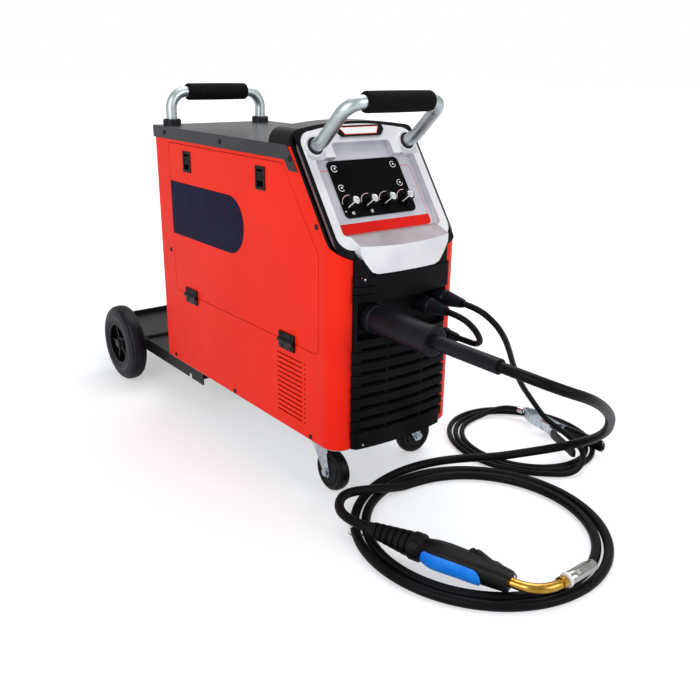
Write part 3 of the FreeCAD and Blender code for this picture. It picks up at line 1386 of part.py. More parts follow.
def biarc(p0, t0, p1, t1):
    """Two tangent arcs between two points with given directions."""
    v = p1 - p0
    t = t0 + t1
    k = 2 * (1 - t0.dot(t1))
    d = (math.sqrt(v.dot(t) ** 2 + k * v.dot(v)) - v.dot(t)) / k
    q0 = p0 + t0 * d
    q1 = p1 - t1 * d
    mid = (q0 + q1) * 0.5
    return [corner_arc(p0, q0, mid), corner_arc(mid, q1, p1)]


def coil(name, where, turns, diameter):
    """One unbroken tube of quarter-turn biarcs along a coil's formula."""
    steps = math.ceil(turns * 4)
    places = [turns * k / steps for k in range(steps + 1)]
    edges = []
    for a, b in zip(places, places[1:]):
        edges += biarc(where(a), heading(where, a), where(b), heading(where, b))
    path = Part.Wire(edges)
    points = path.discretize(Distance=6.0)
    apart = int(path.Length / turns / 2 / 6)
    count = len(points)
    gap = min((points[i] - points[j]).Length for i in range(count) for j in range(i + apart, count))
    print("%s length %.0f gap to itself %.2f" % (name, path.Length, gap - diameter))
    return swept(path, diameter / 2)


def lead_tube(name, points, diameter):
    """Tube along straight runs with tangent arcs, as wide as the shorter run allows."""
    radii = []
    for a, b, c in zip(points, points[1:], points[2:]):
        back = V(*a) - V(*b)
        ahead = V(*c) - V(*b)
        half = (math.pi - back.getAngle(ahead)) / 2
        radii.append(0.45 * min(back.Length, ahead.Length) / math.tan(half))
    path = bend_path(points, radii)
    tube = swept(path, diameter / 2)
    expected = math.pi * diameter ** 2 / 4 * path.Length
    print("%s length %.0f, volume %.3f of expected, radii in diameters %s" % (
        name, path.Length, tube.Volume / expected, " ".join("%.1f" % (r / diameter) for r in radii)))
    return tube


def onto(where, turn, run):
    """A point one run before a coil's point along its tangent, or after it if the run is negative."""
    point = where(turn) - heading(where, turn) * run
    return tuple(point)


def beyond(where, turn):
    """The coil's own end point."""
    return tuple(where(turn))


def torch_lead():
    """Free stretch of the torch lead, from the sleeve down to the coil's start."""
    points = torch_route + [onto(torch_coil_at, 0, 48), beyond(torch_coil_at, 0)]
    return lead_tube("torch_lead", points, torch_cable)


def torch_lead_tail():
    """End of the torch lead, rising over its own coil into the torch's boot."""
    points = [beyond(torch_coil_at, torch_turns), onto(torch_coil_at, torch_turns, -30)] + torch_tail
    return lead_tube("torch_lead_tail", points, torch_cable)


def earth_lead():
    """Free stretch of the earth lead, from its plug's boot down to the coil's start."""
    points = earth_route + [onto(earth_coil_at, 0, 56), beyond(earth_coil_at, 0)]
    return lead_tube("earth_lead", points, lead_cable)


def earth_lead_tail():
    """End of the earth lead, over its coil to the clamp's lug."""
    points = [beyond(earth_coil_at, earth_turns), onto(earth_coil_at, earth_turns, -25)] + earth_tail
    return lead_tube("earth_lead_tail", points, lead_cable)


def torch_plug():
    """Central plug of the torch: pin, ribbed hand nut, long housing and bend sleeve."""
    start = V(torch_x, plug_front, torch_z)
    length = plug_front - sleeve_end
    collar = 20.0
    housing = 138.0
    ring = 12.0
    step = housing + ring + 1.5
    profile = [(0, 0), (0, 23), (2, 25), (collar - 2, 25), (collar, 23.6), (collar + 2, 23.6), (housing, 23),
               (housing + 1.5, 24.4), (housing + ring, 24.4), (step, 22), (step, 11.6),
               (length - 0.8, 11.6), (length, 10.8), (length, 0)]
    body = turned(profile, start, V(0, -1, 0))
    pin = rod(start, Y_AXIS, plug_pin, 42)
    ribs = []
    for k in range(18):
        angle = math.radians(20 * k)
        foot = start + V(25 * math.cos(angle), -3, 25 * math.sin(angle))
        ribs.append(rod(foot, V(0, -1, 0), 0.9, collar - 6))
    return joined([body.cut(ribs), pin])


def lead_plug(place, end_y):
    """Bayonet plug with a ribbed boot."""
    x, z = place
    start = V(x, socket_face - 4.3, z)
    length = start.y - end_y
    head = 26.0
    profile = [(0, 0), (0, 13.5), (1.5, 14.5), (head, 14.5), (head + 2, 13.5)]
    ribs = 6
    pitch = (length - head - 6) / ribs
    for k in range(ribs):
        a = head + 4 + k * pitch
        r = 13 - 4.5 * k / (ribs - 1)
        profile += [(a, r), (a + pitch * 0.55, r), (a + pitch * 0.65, r - 1.6), (a + pitch * 0.95, r - 1.6)]
    profile += [(length, 7.4), (length, 0)]
    body = turned(profile, start, V(0, -1, 0))
    return joined([body, rod(start, Y_AXIS, dinse_pin, 18)])


def jumper_gland():
    """Gland nut and ribbed boot where the jumper comes out of the front."""
    x, z = tail_gland
    face = gland_face(x) - slat_proud
    length = face - jumper_route[-1][1]
    profile = [(-14, 0), (-14, gland_neck), (0, gland_neck), (0, 11), (5, 11), (7, 9.5)]
    for k in range(3):
        a = 9 + k * 7
        profile += [(a, 9 - k * 0.5), (a + 4, 9 - k * 0.5), (a + 4.6, 7.4), (a + 6.6, 7.4)]
    profile += [(length, 6.8), (length, 0)]
    return turned(profile, V(x, face, z), V(0, -1, 0))


def lead_plugs():
    """Plugs of the earth lead and of the polarity jumper, and the jumper's gland."""
    return group([lead_plug(plug_places["earth"], earth_route[0][1]),
                  lead_plug(plug_places["jumper"], jumper_route[0][1]), jumper_gland()])


# Torch: lies on its lead. Drawn along +X with the trigger on +Y, then laid in place.
torch_start = V(*torch_tail[-1])
torch_end = V(-89, -826, 33)
boot_length = 76.0
ball_length = 24.0
handle_length = 138.0
neck_radius = 7.5
neck_bend = 52.0
neck_turn = 72.0
nozzle_length = 58.0
trigger_at = (198.0, 230.0)
trigger_pin = 1.8


def lay_torch(shape):
    """Move a piece from the torch's own frame to where the torch lies."""
    along = (torch_end - torch_start).normalize()
    side = Z_AXIS.cross(along).normalize()
    out = shape.copy()
    out.Placement = FreeCAD.Placement(torch_start, FreeCAD.Rotation(along, side, Z_AXIS, "XYZ")).multiply(
        out.Placement)
    return out


def oval(a, half_wide, half_high, shift=0.0):
    """Closed outline of four arcs across the torch at distance a."""
    def at(angle):
        k = 1.08 if angle % 90 else 1.0
        return V(a, shift + k * half_wide * math.cos(math.radians(angle)),
                 k * half_high * math.sin(math.radians(angle)))
    arcs = [Part.Arc(at(c - 45), at(c), at(c + 45)).toShape() for c in (0, 90, 180, 270)]
    return Part.Wire(arcs)


def torch_body():
    """Ribbed boot, ball joint and moulded handle with the trigger's slot."""
    ribs = 6
    pitch = (boot_length - 8) / ribs
    profile = [(0, 0), (0, 10.2), (6, 10.8)]
    for k in range(ribs):
        a = 8 + k * pitch
        r = 12.5 + 6.5 * k / (ribs - 1)
        profile += [(a, r), (a + pitch * 0.62, r + 0.6), (a + pitch * 0.7, r - 1.8),
                    (a + pitch * 0.96, r - 1.4)]
    b = boot_length
    profile += [(b, 20), (b + 4, 22), (b + ball_length - 6, 22), (b + ball_length, 18), (b + ball_length, 0)]
    boot = turned(profile, V(0, 0, 0), X_AXIS)
    h = b + ball_length - 2
    e = h + handle_length
    handle = Part.makeLoft([oval(h, 17, 16), oval(h + 22, 22, 19), oval(h + 78, 21, 18, 1),
                            oval(h + 115, 18, 16.5, 1), oval(e, 15, 15)], True, False)
    body = joined([boot, handle])
    a0, a1 = trigger_at
    body = body.cut(box(a0 - 2, a1 + 2, 3.5, 40, -6.3, 6.3))
    body = body.cut(rod(V(e - 24, 0, 0), X_AXIS, neck_radius + 0.02, 40))
    pin = rod(V(a1 - 4, 12.5, -9), Z_AXIS, trigger_pin, 18)
    return group([lay_torch(body.cut(pin)), lay_torch(pin)])


def torch_trigger():
    """Black trigger lever on its pin."""
    a0, a1 = trigger_at
    outline = [(a0, 10), (a1 - 7, 9), (a1 - 1, 9.5), (a1, 15), (a1 - 6, 19), (a0 + 8, 28), (a0, 27)]
    lever = prism_z(outline, -5.8, 5.8)
    return lay_torch(lever.cut(rod(V(a1 - 4, 12.5, -9), Z_AXIS, trigger_pin + running_fit, 18)))


def torch_neck():
    """Brass swan neck, insulating ring, nozzle with its bore, and the hanging hook."""
    e = boot_length + ball_length - 2 + handle_length
    turn = math.radians(neck_turn)
    start = V(e - 24, 0, 0)
    bend_start = V(e + 10, 0, 0)
    bend_end = bend_start + V(neck_bend * math.sin(turn), neck_bend * (1 - math.cos(turn)), 0)
    bend_mid = bend_start + V(neck_bend * math.sin(turn / 2), neck_bend * (1 - math.cos(turn / 2)), 0)
    way = V(math.cos(turn), math.sin(turn), 0)
    tip = bend_end + way * 14
    path = Part.Wire([Part.LineSegment(start, bend_start).toShape(),
                      Part.Arc(bend_start, bend_mid, bend_end).toShape(),
                      Part.LineSegment(bend_end, tip).toShape()])
    neck = swept(path, neck_radius)
    nut = rod(bend_end + way * 2, way, 9.5, 8)
    ring = rod(tip, way, 11, 5)
    n = nozzle_length
    nozzle = turned([(0, 0), (0, 9.5), (2, 10.2), (n - 16, 10.2), (n, 8.8), (n, 6.5), (12, 6.5), (12, 0)],
                    tip + way * 5, way)
    contact = rod(tip + way * 16, way, 3.2, n - 18)
    hook_path = bend_path([(e + 3, 6, 0), (e + 3, 17, 0), (e - 5, 25, 0), (e - 14, 25, 0)], [4.0, 4.0])
    hook = swept(hook_path, 1.6)
    return group([lay_torch(s) for s in (joined([neck, nut]), ring, nozzle, contact, hook)])


# Earth clamp: drawn along +X from the jaw tips, lying on its side, then laid in place
clamp_tip = V(410, -432, 22.5)
clamp_way = -102.6
clamp_pivot = 72.0
clamp_length = 200.0
clamp_half_high = 10.5
arm_sheet = 2.0
lug_radius = 6.8
clamp_pin = 3.0


def lay_clamp(shape):
    """Move a piece from the clamp's own frame to where the clamp lies."""
    out = shape.copy()
    out.Placement = FreeCAD.Placement(clamp_tip, FreeCAD.Rotation(Z_AXIS, clamp_way)).multiply(out.Placement)
    return out


def clamp_arm_shape(side, inset):
    """One pressed arm: jaw, belly, pivot ears and handle, on one side of the centre line."""
    outer = [(0, 3.4), (14, 10), (36, 15), (56, 14), (clamp_pivot, 12), (96, 15), (clamp_length - 6, 36),
             (clamp_length, 35)]
    line = [(a, side * s) for a, s in outer]
    back = [(a, side * (s - arm_sheet)) for a, s in reversed(outer)]
    high = clamp_half_high - inset
    strip = prism_z(line + back, -high, high)
    lip = prism_z([(0, side * 0.3), (12, side * 0.3), (12, side * 9.4), (0, side * 3.4)], -high, high)
    ears = []
    for z in (-high, high - arm_sheet):
        ear = prism_z([(clamp_pivot - 16, side * 12.5), (clamp_pivot - 10, side * -6),
                       (clamp_pivot + 10, side * -6), (clamp_pivot + 24, side * 14)], z, z + arm_sheet)
        ears.append(ear)
    return joined([strip, lip] + ears)


def clamp_body():
    """Fixed clamp arm with the pivot pin, its spring and the lead's lug."""
    arm = clamp_arm_shape(1, 0)
    pin = rod(V(clamp_pivot, 0, -clamp_half_high - 1.5), Z_AXIS, clamp_pin, 2 * clamp_half_high + 3)
    heads = [rod(V(clamp_pivot, 0, z), Z_AXIS, 5, 1.5) for z in (-clamp_half_high - 1.5, clamp_half_high)]
    spring = pipe(V(clamp_pivot, 0, -5), Z_AXIS, 7.5, clamp_pin, 10)
    tongue = prism_z([(-0.4, 3.3), (16, 11), (16, 14), (2, 13), (-11, 5), (-6, -2)], -5, 5)
    cable_end = V(-7.8, -1.75, 0)
    way = V(0.902, 0.432, 0)
    barrel = rod(cable_end - way * 10, way, lug_radius, 12)
    lug = joined([tongue, barrel]).cut(rod(cable_end - way * 20, way, lead_cable / 2, 20))
    bolt = rod(V(8, 10, 0), V(0, 1, 0), 4, 7)
    return group([lay_clamp(s) for s in (joined([arm, pin] + heads), spring, lug, bolt)])


def clamp_arm():
    """Moving clamp arm, its ears inside the fixed arm's ears."""
    inset = arm_sheet + 0.3
    arm = clamp_arm_shape(-1, inset)
    return lay_clamp(arm.cut(rod(V(clamp_pivot, 0, -20), Z_AXIS, clamp_pin + running_fit, 40)))


nodes = {
    "cart_tray": cart_tray, "rear_axle": rear_axle,
    "rear_tire_right": rear_tire, "rear_tire_left": lambda: mirrored(rear_tire()),
    "rear_hub_right": rear_hub, "rear_hub_left": lambda: mirrored(rear_hub()),
    "caster_plates": caster_plates,
    "base_pan": base_pan, "side_panel_left": side_panel_left, "side_panel_right": side_panel_right,
    "service_door": service_door, "door_hardware": door_hardware,
    "latch_slider_rear": lambda: latch_slider(latch_places[0]),
    "latch_slider_front": lambda: latch_slider(latch_places[1]),
    "top_cover": top_cover, "rear_panel": rear_panel, "rear_fittings": rear_fittings,
    "power_switch": power_switch, "rear_handle": rear_handle, "front_handle": front_handle,
    "handle_grips": handle_grips, "handle_collars": handle_collars, "front_hood": front_hood,
    "fascia": fascia, "control_plate": control_plate, "front_grille": front_grille,
    "front_sockets": front_sockets, "cabinet_hardware": cabinet_hardware, "centre_wall": centre_wall,
    "power_unit": power_unit, "fan_rotor": fan_rotor, "wire_feeder": wire_feeder,
    "drive_roll": drive_roll, "pressure_arm": pressure_arm, "pressure_roll": pressure_roll,
    "wire_spool": wire_spool,
    "torch_plug": torch_plug, "torch_lead": torch_lead,
    "torch_lead_coil": lambda: coil("torch_lead_coil", torch_coil_at, torch_turns, torch_cable),
    "torch_lead_tail": torch_lead_tail, "torch_body": torch_body, "torch_trigger": torch_trigger,
    "torch_neck": torch_neck, "lead_plugs": lead_plugs, "earth_lead": earth_lead,
    "earth_lead_coil": lambda: coil("earth_lead_coil", earth_coil_at, earth_turns, lead_cable),
    "earth_lead_tail": earth_lead_tail, "clamp_body": clamp_body, "clamp_arm": clamp_arm,
    "jumper_lead": lambda: lead_tube("jumper_lead", jumper_route, lead_cable),
}
for name, make in nodes.items():
    save(name, make())
for word, side in (("left", -1), ("right", 1)):
    save("caster_fork_" + word, caster_fork(side, caster_turn[word]))
    save("caster_wheel_" + word, caster_wheel(side, caster_turn[word]))
for k, x in enumerate(knob_centres):
    save("knob_%d" % (k + 1), knob(x))
for k, x in enumerate(button_centres[:2]):
    save("button_%d" % (k + 1), push_button(x))
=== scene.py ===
import bmesh
import bpy
import math
from mathutils import Matrix, Quaternion, Vector


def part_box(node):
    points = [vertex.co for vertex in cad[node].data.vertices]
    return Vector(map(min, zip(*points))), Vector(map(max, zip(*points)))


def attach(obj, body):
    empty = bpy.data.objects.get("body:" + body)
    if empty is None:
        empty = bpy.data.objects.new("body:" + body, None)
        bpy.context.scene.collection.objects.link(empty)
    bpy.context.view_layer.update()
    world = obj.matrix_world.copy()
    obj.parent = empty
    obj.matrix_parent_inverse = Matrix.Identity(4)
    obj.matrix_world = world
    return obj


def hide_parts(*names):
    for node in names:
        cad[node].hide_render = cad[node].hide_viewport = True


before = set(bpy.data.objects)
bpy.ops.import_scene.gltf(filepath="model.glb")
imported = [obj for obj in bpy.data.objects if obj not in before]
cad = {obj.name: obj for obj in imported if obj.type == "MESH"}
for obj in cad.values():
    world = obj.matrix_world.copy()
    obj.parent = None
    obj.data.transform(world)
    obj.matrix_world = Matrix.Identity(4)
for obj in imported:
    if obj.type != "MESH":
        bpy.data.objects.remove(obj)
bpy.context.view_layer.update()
bpy.ops.object.select_all(action="DESELECT")

# Camera: stands 1.7 m from the middle of the machine, off its front left corner and just above its handles,
# and looks about 20 degrees down. The picture leans by nearly one degree.
camera_data = bpy.data.cameras.new("camera")
camera_data.sensor_width = 36.0
camera_data.lens = 41.4
camera = bpy.data.objects.new("camera", camera_data)
bpy.context.scene.collection.objects.link(camera)
turn = math.radians(-38.349)
drop = math.radians(19.669)
lean = math.radians(0.885)
back = Vector((math.sin(turn) * math.cos(drop), -math.cos(turn) * math.cos(drop), math.sin(drop)))
camera.location = (-0.8684, -1.4386, 0.7223)
camera.rotation_mode = "QUATERNION"
camera.rotation_quaternion = (-back).to_track_quat("-Z", "Y") @ Quaternion((0, 0, 1), lean)
bpy.context.scene.camera = camera


# Torch lead: 16 mm black rubber sheath round the gas hose, the wire liner and the power core. It leaves
# the plug's sleeve, hangs in one big curve to the floor, lies in two wide turns and ends in the torch's boot.
def linear(code):
    """Linear colour of an sRGB hex value."""
    parts = [int(code[i:i + 2], 16) / 255 for i in (1, 3, 5)]
    return tuple(p / 12.92 if p <= 0.04045 else ((p + 0.055) / 1.055) ** 2.4 for p in parts) + (1.0,)


def add(material, kind, inputs=None, links=None, **settings):
    """Add one shader node with its settings, input values and links."""
    made = material.node_tree.nodes.new(kind)
    for key, value in settings.items():
        setattr(made, key, value)
    for key, value in (inputs or {}).items():
        made.inputs[key].default_value = value
    for key, (source, output) in (links or {}).items():
        material.node_tree.links.new(source.outputs[output], made.inputs[key])
    return made


def finish_of(name, low, high, patch_mm, grain_mm, relief_mm, rough, spread=0.06, stretch=None,
              **shader):
    """A surface of two near shades in soft patches, with its own grain in the relief and in the gloss."""
    material = bpy.data.materials.new(name)
    material.use_nodes = True
    surface = material.node_tree.nodes["Principled BSDF"]
    for key, value in shader.items():
        surface.inputs[key.replace("_", " ")].default_value = value
    place = add(material, "ShaderNodeTexCoord")
    if stretch:
        place = add(material, "ShaderNodeMapping", {"Scale": stretch}, {"Vector": (place, "Object")})
    where = (place, "Vector" if stretch else "Object")
    patches = add(material, "ShaderNodeTexNoise", {"Scale": 1000 / patch_mm, "Detail": 3.0},
                  {"Vector": where})
    shades = add(material, "ShaderNodeValToRGB", links={"Fac": (patches, "Fac")})
    shades.color_ramp.elements[0].position = 0.35
    shades.color_ramp.elements[1].position = 0.65
    shades.color_ramp.elements[0].color = linear(low)
    shades.color_ramp.elements[1].color = linear(high)
    grain = add(material, "ShaderNodeTexNoise", {"Scale": 1000 / grain_mm, "Detail": 2.0},
                {"Vector": where})
    gloss = add(material, "ShaderNodeMapRange", {"To Min": rough - spread, "To Max": rough + spread},
                {"Value": (grain, "Fac")})
    relief = add(material, "ShaderNodeBump", {"Strength": 1.0, "Distance": relief_mm / 1000},
                 {"Height": (grain, "Fac")})
    links = material.node_tree.links
    links.new(shades.outputs["Color"], surface.inputs["Base Color"])
    links.new(gloss.outputs["Result"], surface.inputs["Roughness"])
    links.new(relief.outputs["Normal"], surface.inputs["Normal"])
    return material


# Chlorinated rubber sheath, extruded: nearly black, a soft shine along its back, fine talc haze.
sheath = finish_of("rubber_sheath", "#060607", "#0D0D10", 60, 2.5, 0.04, 0.40, Specular_IOR_Level=0.09)


def cord_curve(name, points, diameter, material):
    """A cord as one smooth NURBS line through its route, with a round section."""
    data = bpy.data.curves.new(name, "CURVE")
    data.dimensions = "3D"
    spline = data.splines.new("NURBS")
    spline.points.add(len(points) - 1)
    for point, place in zip(spline.points, points):
        point.co = (place[0], place[1], place[2], 1.0)
    spline.order_u = 3
    spline.use_endpoint_u = True
    spline.resolution_u = 6
    data.bevel_depth = diameter / 2
    data.bevel_resolution = 6
    data.use_fill_caps = True
    data.materials.append(material)
    piece = bpy.data.objects.new(name, data)
    bpy.context.scene.collection.objects.link(piece)
    return piece


torch_floor = 0.0083
torch_turns = 2.1
torch_steps = 50


def torch_coil(turns):
    """Point of the torch lead's coil after so many turns, coming down to the floor in the first quarter."""
    angle = math.radians(50 + 360 * turns)
    lift = 0.015 * (1 - min(1.0, 4 * max(turns, 0))) ** 2
    return (0.015 + (0.212 - 0.018 * turns) * math.cos(angle),
            -0.676 + (0.218 - 0.020 * turns) * math.sin(angle), torch_floor + lift)


torch_points = [(-0.062, -0.754, 0.330), (-0.062, -0.802, 0.330), (-0.028, -0.838, 0.314),
                (0.028, -0.846, 0.290), (0.105, -0.820, 0.246), (0.182, -0.782, 0.195),
                (0.246, -0.735, 0.134), (0.272, -0.672, 0.084), (0.256, -0.612, 0.052),
                (0.225, -0.572, 0.036), (0.1875, -0.5397, 0.0264)]
for step in range(torch_steps + 1):
    torch_points.append(torch_coil(torch_turns * step / torch_steps))
torch_points += [(-0.0028, -0.4988, torch_floor), (-0.060, -0.503, 0.026), (-0.125, -0.493, 0.037),
                 (-0.163, -0.519, 0.038), (-0.1759, -0.5592, 0.0354), (-0.162, -0.602, 0.035)]
torch_cord = cord_curve("torch_cord", torch_points, 0.016, sheath)
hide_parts("torch_lead", "torch_lead_coil", "torch_lead_tail")
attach(torch_cord, "chassis")


# Earth lead: 10.5 mm flexible welding cable, from its bayonet plug down to the floor, round in two and a
# half loose turns on the right, and over them into the crimped lug of the clamp.
earth_floor = 0.00565
earth_turns = 2.39
earth_steps = 58


def earth_coil(turns):
    """Point of the earth lead's coil on the floor after so many turns, wound the other way."""
    angle = math.radians(-125 - 360 * turns)
    return (0.330 + (0.142 - 0.012 * turns) * math.cos(angle),
            -0.490 + (0.158 - 0.014 * turns) * math.sin(angle), earth_floor)


earth_points = [(0.082, -0.540, 0.345), (0.082, -0.574, 0.345), (0.100, -0.598, 0.322),
                (0.128, -0.596, 0.292), (0.158, -0.584, 0.258), (0.188, -0.569, 0.223),
                (0.235, -0.550, 0.171), (0.285, -0.545, 0.118), (0.308, -0.562, 0.080),
                (0.330, -0.600, 0.056), (0.338, -0.642, 0.030), (0.2922, -0.6545, earth_floor)]
for step in range(earth_steps + 1):
    earth_points.append(earth_coil(earth_turns * step / earth_steps))
earth_points += [(0.34585, -0.36415, earth_floor), (0.381, -0.376, 0.018), (0.404, -0.398, 0.0225),
                 (0.410, -0.424, 0.0225)]
earth_cord = cord_curve("earth_cord", earth_points, 0.0105, sheath)
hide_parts("earth_lead", "earth_lead_coil", "earth_lead_tail")
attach(earth_cord, "chassis")

# Polarity jumper: the same cable, 16 cm of it, from its own plug in one tight loop back into the gland in
# the lower front.
jumper_points = [(0.048, -0.537, 0.336), (0.048, -0.566, 0.336), (0.0606, -0.5865, 0.320),
                 (0.0814, -0.5865, 0.293), (0.094, -0.566, 0.277), (0.0942, -0.537, 0.2771),
                 (0.094, -0.520, 0.277)]
jumper_cord = cord_curve("jumper_cord", jumper_points, 0.0105, sheath)
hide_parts("jumper_lead")
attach(jumper_cord, "chassis")

# Floor and lamps: a white paper floor that runs into the white backdrop, a large soft light overhead and
# two weaker ones, one for the door side and one for the front.
bpy.ops.mesh.primitive_plane_add(size=60, location=(0, 0, -0.0005))
floor = bpy.context.object
floor.name = "floor"
bpy.ops.object.transform_apply(location=True, rotation=True, scale=True)
# White paper: flat and even. It shows its own white to the camera, less of it near the machine, where the
# soft shadow lies, and half of it to glossy rays, so that metal shows a white room.
paper = bpy.data.materials.new("white_paper")
paper.use_nodes = True
sheet_white = paper.node_tree.nodes["Principled BSDF"]
sheet_white.inputs["Base Color"].default_value = linear("#CDD1D6")
sheet_white.inputs["Roughness"].default_value = 0.9
sheet_white.inputs["Specular IOR Level"].default_value = 0.1
sheet_white.inputs["Emission Color"].default_value = (1, 1, 1, 1)
ray = add(paper, "ShaderNodeLightPath")
shiny = add(paper, "ShaderNodeMath", {1: 0.5}, {0: (ray, "Is Glossy Ray")}, operation="MULTIPLY")
seen = add(paper, "ShaderNodeMath", links={0: (ray, "Is Camera Ray"), 1: (shiny, 0)}, operation="MAXIMUM")
seen = add(paper, "ShaderNodeMath", links={0: (seen, 0), 1: (ray, "Is Transmission Ray")},
           operation="MAXIMUM")
place = add(paper, "ShaderNodeTexCoord")
spot = add(paper, "ShaderNodeVectorMath", links={0: (place, "Object")}, operation="LENGTH")
shadow_edge, white_edge, shadow_glow = 0.75, 1.7, 0.46
far = add(paper, "ShaderNodeMapRange",
          {"From Min": shadow_edge, "From Max": white_edge, "To Min": shadow_glow, "To Max": 1.0},
          {"Value": (spot, "Value")})
lifted = add(paper, "ShaderNodeMath", links={0: (seen, 0), 1: (far, "Result")}, operation="MULTIPLY")
paper.node_tree.links.new(lifted.outputs[0], sheet_white.inputs["Emission Strength"])
floor.data.materials.append(paper)

# Backdrop: full white where the camera sees it, about six tenths of that in shiny pieces, and a soft light
# at less than half strength on everything else.
world = bpy.data.worlds.new("studio")
bpy.context.scene.world = world
world.use_nodes = True
backdrop = world.node_tree.nodes["Background"]
backdrop.inputs["Color"].default_value = (1, 1, 1, 1)
ray = add(world, "ShaderNodeLightPath")
seen = add(world, "ShaderNodeMath", links={0: (ray, "Is Camera Ray"), 1: (ray, "Is Transmission Ray")},
           operation="MAXIMUM")
shown = add(world, "ShaderNodeMath", {1: 0.30}, {0: (ray, "Is Glossy Ray")}, operation="MULTIPLY")
seen = add(world, "ShaderNodeMath", links={0: (seen, 0), 1: (shown, 0)}, operation="MAXIMUM")
level = add(world, "ShaderNodeMapRange", {"To Min": 0.45, "To Max": 1.0}, {"Value": (seen, 0)})
world.node_tree.links.new(level.outputs["Result"], backdrop.inputs["Strength"])


def lamp(name, place, aim, size, watts):
    """A soft square light."""
    data = bpy.data.lights.new(name, "AREA")
    data.shape = "SQUARE"
    data.size = size
    data.energy = watts
    light = bpy.data.objects.new(name, data)
    light.location = place
    light.rotation_mode = "QUATERNION"
    light.rotation_quaternion = (Vector(aim) - Vector(place)).to_track_quat("-Z", "Y")
    bpy.context.scene.collection.objects.link(light)


lamp("overhead", (0.9, 0.3, 2.6), (0.0, -0.1, 0.2), 2.2, 42)
lamp("side_fill", (-2.6, -1.2, 1.5), (-0.1, -0.1, 0.3), 2.0, 42)
lamp("front_fill", (0.8, -2.8, 1.4), (0.0, -0.4, 0.4), 1.6, 22)
bpy.context.scene.view_settings.view_transform = "Standard"


# Cart tray: 2 mm steel sheet with bent rails and a rear lip, welded at the corners and powder coated black.
# The machine stands on its front half and is bolted through the flanges. The rear panel has the same coat.
def dress(material, *names):
    """Give CAD nodes their finish."""
    for name in names:
        cad[name].data.materials.clear()
        cad[name].data.materials.append(material)


def dress_part(name, material, chosen):
    """Give the faces of a CAD node that pass a test one more finish."""
    mesh = cad[name].data
    mesh.materials.append(material)
    for face in mesh.polygons:
        if chosen(face):
            face.material_index = len(mesh.materials) - 1


# Black powder coat, baked: very dark grey with a fine orange peel that breaks the shine.
black_coat = finish_of("black_powder_coat", "#121214", "#19191C", 120, 1.8, 0.035, 0.46,
                       Specular_IOR_Level=0.28)
dress(black_coat, "cart_tray", "rear_panel")


# Rear wheels: solid rubber tyres pressed on moulded black hubs, which turn on a plain zinc-plated axle
# and are held by cap nuts. The tread has five shallow grooves and each shoulder has two rings.
def turned(name, profile, centre, axis, steps=72):
    """A turned piece: its profile (distance along the axis, radius) drawn point by point and spun."""
    axis = Vector(axis).normalized()
    across = axis.orthogonal().normalized()
    bpy.ops.object.select_all(action="DESELECT")
    bpy.ops.mesh.primitive_plane_add(size=0.001)
    piece = bpy.context.object
    piece.name = name
    piece.data.name = name
    bpy.ops.object.mode_set(mode="EDIT")
    bpy.ops.mesh.merge(type="CENTER")
    here = Vector(centre) + axis * profile[0][0] + across * profile[0][1]
    bpy.ops.transform.translate(value=here)
    for along, radius in profile[1:]:
        there = Vector(centre) + axis * along + across * radius
        bpy.ops.mesh.extrude_region_move(TRANSFORM_OT_translate={"value": there - here})
        here = there
    bpy.ops.mesh.select_all(action="SELECT")
    bpy.ops.mesh.spin(steps=steps, angle=2 * math.pi, center=centre, axis=axis)
    bpy.ops.mesh.select_all(action="SELECT")
    bpy.ops.mesh.remove_doubles(threshold=1e-6)
    bpy.ops.mesh.normals_make_consistent(inside=False)
    bpy.ops.object.mode_set(mode="OBJECT")
    return piece


def hand_over(piece, body, material, smooth=35):
    """Colour a finished piece, smooth it up to its sharp edges and say what it rides on."""
    piece.data.materials.clear()
    piece.data.materials.append(material)
    bpy.ops.object.select_all(action="DESELECT")
    piece.select_set(True)
    bpy.context.view_layer.objects.active = piece
    bpy.ops.object.shade_smooth_by_angle(angle=math.radians(smooth))
    piece.select_set(False)
    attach(piece, body)


# Moulded rubber: cool black with a broad, uneven sheen that follows its grain.
tyre_rubber = finish_of("moulded_rubber", "#0E0E13", "#191921", 26, 1.4, 0.05, 0.42, 0.10,
                        Specular_IOR_Level=0.24)
# Half of the tyre's section in millimetres, from its bore round the shoulder to the middle of the tread:
# distance from its side, radius.
half_tyre = [(5, 52.3), (2.5, 53), (1, 57), (1.8, 58), (0.8, 59.5), (0, 66), (0.9, 71), (1.9, 71.8),
             (1.6, 73), (3, 78), (5.6, 82.5), (6.4, 82), (7.2, 83.8), (9.8, 85.8), (10.4, 84.6),
             (11.4, 84.8), (12, 86.9), (15.2, 87.4), (15.8, 86.2), (16.8, 86.3), (17.4, 87.7), (20.2, 88.0),
             (20.8, 86.8)]
tyre_width = 43.0
tyre_profile = half_tyre + [(tyre_width - a, r) for a, r in reversed(half_tyre)] + half_tyre[:1]
tyre_section = [(a / 1000, r / 1000) for a, r in tyre_profile]
for side, word in ((-1, "left"), (1, "right")):
    inner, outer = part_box("rear_tire_" + word)
    start = inner.x if side > 0 else outer.x
    middle = (inner + outer) / 2
    tyre = turned("tyre_" + word, tyre_section, (start, middle.y, middle.z), (side, 0, 0), 96)
    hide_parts("rear_tire_" + word)
    hand_over(tyre, "wheel_" + word, tyre_rubber, 30)
# Injection moulded polypropylene: black, half matt, with faint flow marks.
hub_plastic = finish_of("moulded_polypropylene", "#0A0A0C", "#121215", 40, 2.0, 0.03, 0.38,
                        Specular_IOR_Level=0.14)
dress(hub_plastic, "rear_hub_left", "rear_hub_right")
# Bright zinc plate, passivated blue: pale metal with a cool cast and small spangles.
zinc_plate = finish_of("blue_zinc_plate", "#A9B4BC", "#D0D9E0", 9, 1.6, 0.003, 0.24, 0.06, Metallic=1.0)
dress(zinc_plate, "rear_axle")
